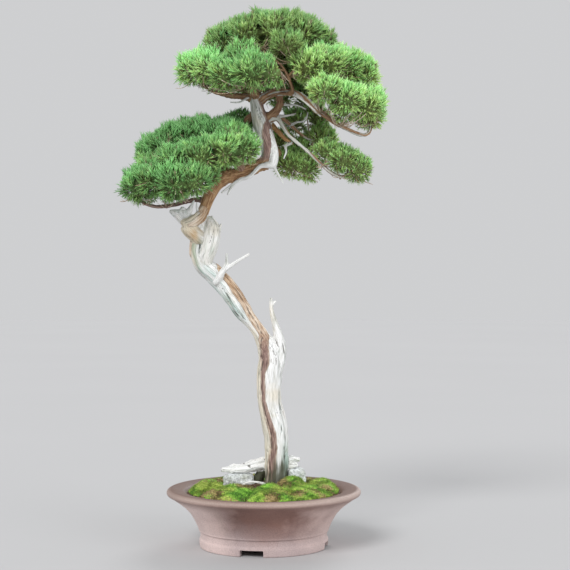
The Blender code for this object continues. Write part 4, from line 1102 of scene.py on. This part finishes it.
def spray_kind(rng):
    """One spray of unit length: a bent cord, with short side cords in a loose spiral round it."""
    bend = rng.uniform(-0.3, 0.3, 2)
    verts, tips, faces = [], [], []

    def line(t):
        return np.array([bend[0] * t * t, bend[1] * t * t, t])

    for t, radius in ((0.0, 0.04), (0.55, 0.042)):
        verts += list(ring_at(line(t), UP, radius))
        tips += [0.75 * t] * 3
    verts.append(line(1.0))
    tips.append(1.0)
    for k in range(3):
        m = (k + 1) % 3
        faces += [(k, m, 3 + m), (k, 3 + m, 3 + k), (3 + k, 3 + m, 6)]
    for k in range(SIDE_CORDS):
        t = 0.12 + 0.62 * (k + rng.uniform(0, 0.9)) / SIDE_CORDS
        turn = 2.4 * k + rng.uniform(-0.5, 0.5)
        lean = math.radians(rng.uniform(16, 36))
        length = rng.uniform(0.34, 0.5) * (1.15 - 0.5 * t)
        ahead = np.array([math.cos(turn) * math.sin(lean), math.sin(turn) * math.sin(lean), math.cos(lean)])
        foot = len(verts)
        verts += list(ring_at(line(t), ahead, 0.037, turn))
        verts.append(line(t) + ahead * length + UP * 0.15 * length)
        tips += [0.7 * t] * 3 + [min(1.0, 0.72 * t + 0.8 * length + 0.12)]
        faces += [(foot, foot + 1, foot + 3), (foot + 1, foot + 2, foot + 3), (foot + 2, foot, foot + 3)]
    return np.array(verts), np.array(tips), np.array(faces)


def placed(verts, faces, seats, along, side, length):
    """Copies of a small shape, each set on a seat along its own direction."""
    other = np.cross(along, side)
    made = seats[:, None] + length[:, None, None] * (
        verts[None, :, 0:1] * side[:, None] + verts[None, :, 1:2] * other[:, None]
        + verts[None, :, 2:3] * along[:, None]
    )
    shifts = np.arange(len(seats))[:, None, None] * len(verts)
    return made.reshape(-1, 3), (faces[None] + shifts).reshape(-1, 3)


def even_directions(count, rng, jitter):
    """Directions spread evenly over a sphere, slightly disturbed."""
    k = np.arange(count) + 0.5
    z = 1 - 2 * k / count
    turn = math.pi * (1 + 5**0.5) * k + rng.uniform(0, math.tau)
    flat = np.sqrt(1 - z * z)
    ways = np.stack([flat * np.cos(turn), flat * np.sin(turn), z], axis=1)
    return unit(ways + rng.normal(0, jitter, ways.shape))


def way_out(seats, along, centre, radius):
    """How far each seat is, along its direction, from the outside of its tuft."""
    place = (seats - centre) / SQUASH
    step = along / SQUASH
    square = (step**2).sum(1)
    half = (place * step).sum(1)
    rest = (place**2).sum(1) - radius**2
    return (np.sqrt(np.maximum(half**2 - square * rest, 0)) - half) / square


def in_cleft(points):
    """Which points lie in the crown's opening, seen from the front."""
    low, high = np.array(CLEFT[:2], dtype=float)
    span = (high - low)[[0, 2]]
    share = np.clip((points - low)[:, [0, 2]] @ span / (span @ span), 0, 1)
    line = low + share[:, None] * (high - low)
    near = np.linalg.norm((points - line)[:, [0, 2]], axis=1) < CLEFT[2]
    return near & (points[:, 1] < line[:, 1] + 4)


def tuft_sprays(centre, r, rng):
    """The free sprays of a tuft: way from the centre, seat, direction, side, length and tone of each."""
    ways = even_directions(round(SPRAYS_A_TUFT * (r / COMMON_RADIUS) ** 1.5), rng, 0.04)
    clumps = even_directions(CLUMPS_A_TUFT, rng, 0.1)
    likeness = ways @ clumps.T
    clump = likeness.argmax(axis=1)
    off = np.arccos(np.clip(likeness.max(axis=1), -1, 1)) / 0.3
    seats = centre + ways * SQUASH * r * SEAT_SHARE
    clump_tone = rng.uniform(0, 1, CLUMPS_A_TUFT)
    clump_reach = rng.uniform(0.84, 1.08, CLUMPS_A_TUFT)
    count = len(ways)
    goal = unit(clumps[clump] * 0.4 + ways * 0.6)
    lift = (0.05 + 1.05 * smoothstep(ways[:, 2], -0.85, 0.15))[:, None]
    along = unit(goal + UP * lift + rng.normal(0, 0.2, (count, 3)))
    # Sprays that lean off the radial direction still end at the tuft's rounded outside.
    lobe = 1 + 0.14 * noise_at(ways * 1.7 + centre * 0.05)
    reach = lobe * clump_reach[clump] * (1.06 - 0.18 * np.clip(off, 0, 1.2))
    reach *= rng.uniform(0.9, 1.05, count)
    outside = way_out(seats, along, centre, r * np.maximum(reach, 0.8))
    length = np.clip(outside, 0.2 * r, 0.75 * r)
    # Sprays inside another tuft are left out, and those beside one fill the hollow between.
    others = ALL_TUFTS[np.abs(ALL_TUFTS[:, :3] - centre).sum(axis=1) > 1]
    depth = np.zeros(count)
    for share in (0.5, 1.0):
        ends = seats + along * (share * length)[:, None]
        gap = np.linalg.norm((ends[:, None] - others[None, :, :3]) / SQUASH, axis=2) / others[None, :, 3]
        depth = np.maximum(depth, gap.min(axis=1))
    length *= 1 + 0.35 * (1 - smoothstep(depth, 0.95, 1.3)) * smoothstep(ways[:, 2], -0.4, 0.1)
    tips = seats + along * length[:, None]
    free = (depth > HIDDEN_SHARE) & ~in_cleft(tips) & ~in_cleft((seats + tips) / 2)
    along = along[free]
    side = unit(np.cross(along, rng.normal(0, 1, along.shape)))
    tone = 0.5 * clump_tone[clump[free]] + 0.5 * rng.uniform(0, 1, len(along))
    return ways[free], seats[free], along, side, length[free], tone


def make_head(name, tint, light, tufts, kinds, material):
    """One head of foliage: sprays in small clumps all over each tuft, on an inner core that is dark as
    painted shade.
    """
    rng = np.random.default_rng(sum(map(ord, name)))
    ball, sides = ball_arrays(3)
    parts, sprays, cores = [], [], []
    for x, y, z, r in tufts:
        centre = np.array([x, y, z], dtype=float)
        ways, seats, along, side, length, tone = tuft_sprays(centre, r, rng)
        count = len(ways)
        tone = np.clip(tone + light, 0.08, 1.0)
        tone = np.where(rng.uniform(0, 1, count) < DRY_SHARE, 0.0, tone)
        tints = tint - 0.3 * ways[:, 2] + rng.normal(0, 0.2, count)
        which = rng.integers(0, len(kinds), count)
        for index, (verts, tips, faces) in enumerate(kinds):
            own = which == index
            parts.append(placed(verts, faces, seats[own], along[own], side[own], length[own]))
            sprays.append(np.stack([
                np.tile(tips, own.sum()), np.repeat(tone[own], len(verts)), np.repeat(tints[own], len(verts)),
            ], axis=1))
        rough = 1 + 0.18 * noise_at(ball * 2.4 + centre)
        cores.append((centre + ball * SQUASH * (r * CORE_SHARE * rough)[:, None], sides))
    verts, faces, _ = skin(*joined(cores), CORE_CELL, rounds=1)
    parts.append((verts, faces))
    # The core takes the dark colour of a cord's foot: painted shade inside the tuft.
    sprays.append(np.tile(np.array([0.2, 0.4, tint]), (len(verts), 1)))
    add_piece(name + "_sprays", *joined(parts), material, "juniper_foliage", [name],
              attributes={"spray": np.concatenate(sprays)})


def rounded(outline, cuts):
    """An open outline with its corners cut again and again, its two ends kept."""
    points = np.array(outline, dtype=float)
    for cut in cuts:
        step = np.diff(points, axis=0)
        share = np.minimum(0.25, cut / np.linalg.norm(step, axis=1, keepdims=True))
        low = points[:-1] + step * share
        high = points[1:] - step * share
        inner = np.stack([low, high], axis=1).reshape(-1, 2)[1:-1]
        points = np.vstack([points[:1], inner, points[-1:]])
    return points


def mesh_of(bm, name):
    """A mesh from a finished bmesh."""
    mesh = bpy.data.meshes.new(name)
    bm.to_mesh(mesh)
    bm.free()
    return mesh


def foot_cutters():
    """Two bars across the foot for its four cut-outs, and a rod for the drainage hole."""
    cutters = bpy.data.collections.new("cutters")
    for k in range(3):
        bm = bmesh.new()
        if k < 2:
            bmesh.ops.create_cube(bm, size=1.0)
            bmesh.ops.scale(bm, vec=(NOTCH_WIDTH, 3 * FOOT_RADIUS, 2 * NOTCH_HEIGHT), verts=bm.verts)
            edges = [edge for edge in bm.edges if abs(edge.verts[0].co.y - edge.verts[1].co.y) > 1]
            bmesh.ops.bevel(bm, geom=edges, offset=1.6, segments=3, affect="EDGES", profile=0.5)
        else:
            bmesh.ops.create_cone(bm, cap_ends=True, segments=48, radius1=DRAIN_RADIUS, radius2=DRAIN_RADIUS,
                                  depth=3 * POT_FLOOR)
        cutter = bpy.data.objects.new("cutter", mesh_of(bm, "cutter"))
        cutter.rotation_euler.z = NOTCH_TURN + math.pi / 2 * k
        cutters.objects.link(cutter)
    bpy.context.scene.collection.children.link(cutters)
    return cutters


def make_pot(material):
    """The pot, turned with many sides, with its foot cut-outs and its drainage hole."""
    inner = FOOT_RADIUS - FOOT_WIDTH
    bottom = [(inner - 30, FOOT_RECESS), (inner - 1, FOOT_RECESS), (inner, FOOT_RECESS - 1.5), (inner, EDGE),
              (inner + EDGE, 0.0), (FOOT_RADIUS - EDGE, 0.0), (FOOT_RADIUS, EDGE)]
    line = rounded(bottom + POT_OUTSIDE + POT_RIM + POT_INSIDE, CORNER_CUTS)
    spokes = ring_spokes(np.array([1.0, 0.0, 0.0]), np.array([0.0, 1.0, 0.0]), POT_SIDES)
    rings = line[:, 0, None, None] * spokes + line[:, 1, None, None] * UP
    pot = new_mesh("pot", *closed_rings(rings, (0, 0, FOOT_RECESS), (0, 0, POT_FLOOR)))
    cutters = foot_cutters()
    verts, faces, _ = modified(pot, ("BOOLEAN", {
        "operation": "DIFFERENCE", "operand_type": "COLLECTION", "collection": cutters, "solver": "MANIFOLD",
    }))
    for cutter in list(cutters.objects):
        bpy.data.objects.remove(cutter)
    bpy.data.collections.remove(cutters)
    obj = add_piece("pot_clay", verts, faces, material, "unglazed_clay", ["pot"])
    obj.data.set_sharp_from_angle(angle=SHARP_ANGLE)


def make_moss(material):
    """Each cushion with small soft lumps and short blades all over its top."""
    rng = np.random.default_rng(8)
    blade = np.array([(0.12, 0, 0), (-0.06, 0.104, 0), (-0.06, -0.104, 0), (0.05, 0.02, 1.0)])
    blade_sides = np.array([(0, 1, 3), (1, 2, 3), (2, 0, 3)])
    blade_tips = np.array([0.3, 0.3, 0.3, 1.0])
    count = MOSS_BLADES
    for name in MOSS_PIECES:
        verts, faces, normals = skin(*cad_arrays(name), MOSS_CELL, rounds=2)
        swell = np.sqrt(noise_at(verts * (0.036, 0.052, 0.05)) ** 2 + 0.012)
        small = np.abs(noise_at(verts * 0.2, 6.0) + 0.6 * noise_at(verts * 0.5, 3.0))
        top = smoothstep(normals[:, 2], 0.0, 0.5)
        rise = top * (4.2 * swell + 1.5 * small - 1.3) + 1.3 * (1 - top)
        verts = verts + normals * rise[:, None]
        seat = rng.choice(len(verts), count, p=(top + 0.02) / (top + 0.02).sum())
        seats = verts[seat] + rng.normal(0, 0.5, (count, 3)) * (1, 1, 0.2)
        along = unit(normals[seat] * 0.6 + UP * 0.7 + rng.normal(0, 0.35, (count, 3)))
        side = unit(np.cross(along, rng.normal(0, 1, (count, 3))))
        blades = placed(blade, blade_sides, seats, along, side, rng.uniform(1.6, 3.2, count))
        dry = 0.16 + 0.6 * noise_at(verts * 0.035, 12.0)
        for x, y, reach in DRY_PATCHES:
            dry += 0.36 * np.exp(-((verts[:, 0] - x) ** 2 + (verts[:, 1] - y) ** 2) / reach**2)
        dry = np.clip(dry, 0, 1)
        # The crests of the lumps are bright, and the furrows between them dark: painted light and painted
        # shade, which also sets how bright the blades on them are.
        crest = smoothstep(2.4 * swell + 0.9 * small, 0.25, 1.05)
        base = np.stack([0.14 + 0.66 * crest, np.full(len(verts), 0.5), dry], axis=1)
        tone = rng.uniform(0, 1, count)
        tips = np.outer(0.32 + 0.68 * crest[seat], blade_tips).ravel()
        hairs = np.stack([tips, np.repeat(tone, 4), np.repeat(dry[seat], 4)], axis=1)
        add_piece(name + "_cushion", *joined([(verts, faces), blades]), material, "moss", [name],
                  attributes={"blade": np.concatenate([base, hairs])})


def make_crumbs(material):
    """Loose crumbs on the soil, where the moss leaves it bare."""
    rng = np.random.default_rng(3)
    ball, sides = ball_arrays(1)
    turn = rng.uniform(0, math.tau, CRUMBS)
    far = np.sqrt(rng.uniform(0.03, 1, CRUMBS)) * CRUMB_REACH
    height = SOIL_TOP + SOIL_RISE * (1 - (far / SOIL_REACH) ** 2) + rng.uniform(-0.3, 0.8, CRUMBS)
    parts = []
    for seat in np.stack([far * np.cos(turn), far * np.sin(turn), height], axis=1):
        shape = ball * rng.uniform(0.75, 1.25, (len(ball), 1)) * rng.uniform(0.7, 1.3, 3)
        parts.append((seat + shape * rng.uniform(0.9, 2.1), sides))
    add_piece("soil_crumbs", *joined(parts), material, "potting_soil", smooth=False)


def make_stones(material):
    """The two stones with their rough weathered faces."""
    for name in ("stone_left", "stone_right"):
        verts, faces, normals = skin(*cad_arrays(name), STONE_CELL, rounds=4)
        rise = 2.0 * noise_at(verts * 0.1) + 1.2 * noise_at(verts * 0.3, 4.0)
        rise += 0.5 * noise_at(verts * 0.8, 7.0)
        add_piece(name + "_rock", verts + normals * rise[:, None], faces, material, "stone", [name])


def soft_light(name, ahead, energy, degrees, colour):
    """A sun with soft shadows."""
    light = bpy.data.lights.new(name, "SUN")
    light.energy = energy
    light.angle = math.radians(degrees)
    light.color = colour
    linked(name, light).rotation_euler = Vector(ahead).to_track_quat("-Z", "Y").to_euler()


def make_stage():
    """A plain pale floor, soft studio light and the photograph's camera."""
    bm = bmesh.new()
    bmesh.ops.create_circle(bm, cap_ends=True, segments=96, radius=FLOOR_RADIUS)
    floor = linked("floor", mesh_of(bm, "floor"))
    floor.data.materials.append(floor_look())
    for light in LIGHTS:
        soft_light(*light)
    world = bpy.data.worlds.new("studio")
    world.use_nodes = True
    world.node_tree.nodes["Background"].inputs["Color"].default_value = STUDIO_LIGHT
    bpy.context.scene.world = world
    camera = bpy.data.cameras.new("camera")
    camera.sensor_width = 36.0
    camera.lens = CAMERA_LENS
    camera.clip_end = 60.0
    obj = linked("camera", camera)
    obj.location = AXIS + CAMERA_PLACE * MM
    obj.rotation_euler = (math.pi / 2, 0, 0)
    bpy.context.scene.camera = obj
    bpy.context.scene.view_settings.view_transform = "Standard"


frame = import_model()
pot_low, pot_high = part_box("pot")
AXIS = np.array([(pot_low.x + pot_high.x) / 2, (pot_low.y + pot_high.y) / 2, 0.0])

wood = wood_look()
make_wood(wood)
make_twigs(wood)
leaf = leaf_look()
spray_rng = np.random.default_rng(17)
spray_kinds = [spray_kind(spray_rng) for _ in range(SPRAY_KINDS)]
for head, (head_tint, head_light, head_tufts) in FOLIAGE.items():
    make_head(head, head_tint, head_light, head_tufts, spray_kinds, leaf)
make_pot(clay_look())
make_moss(moss_look())
earth = soil_look()
make_crumbs(earth)
make_stones(stone_look())
for node, finish in (("soil", earth), ("drain_screen", plastic_look())):
    frame["nodes"][node].data.materials.clear()
    frame["nodes"][node].data.materials.append(finish)
make_stage()
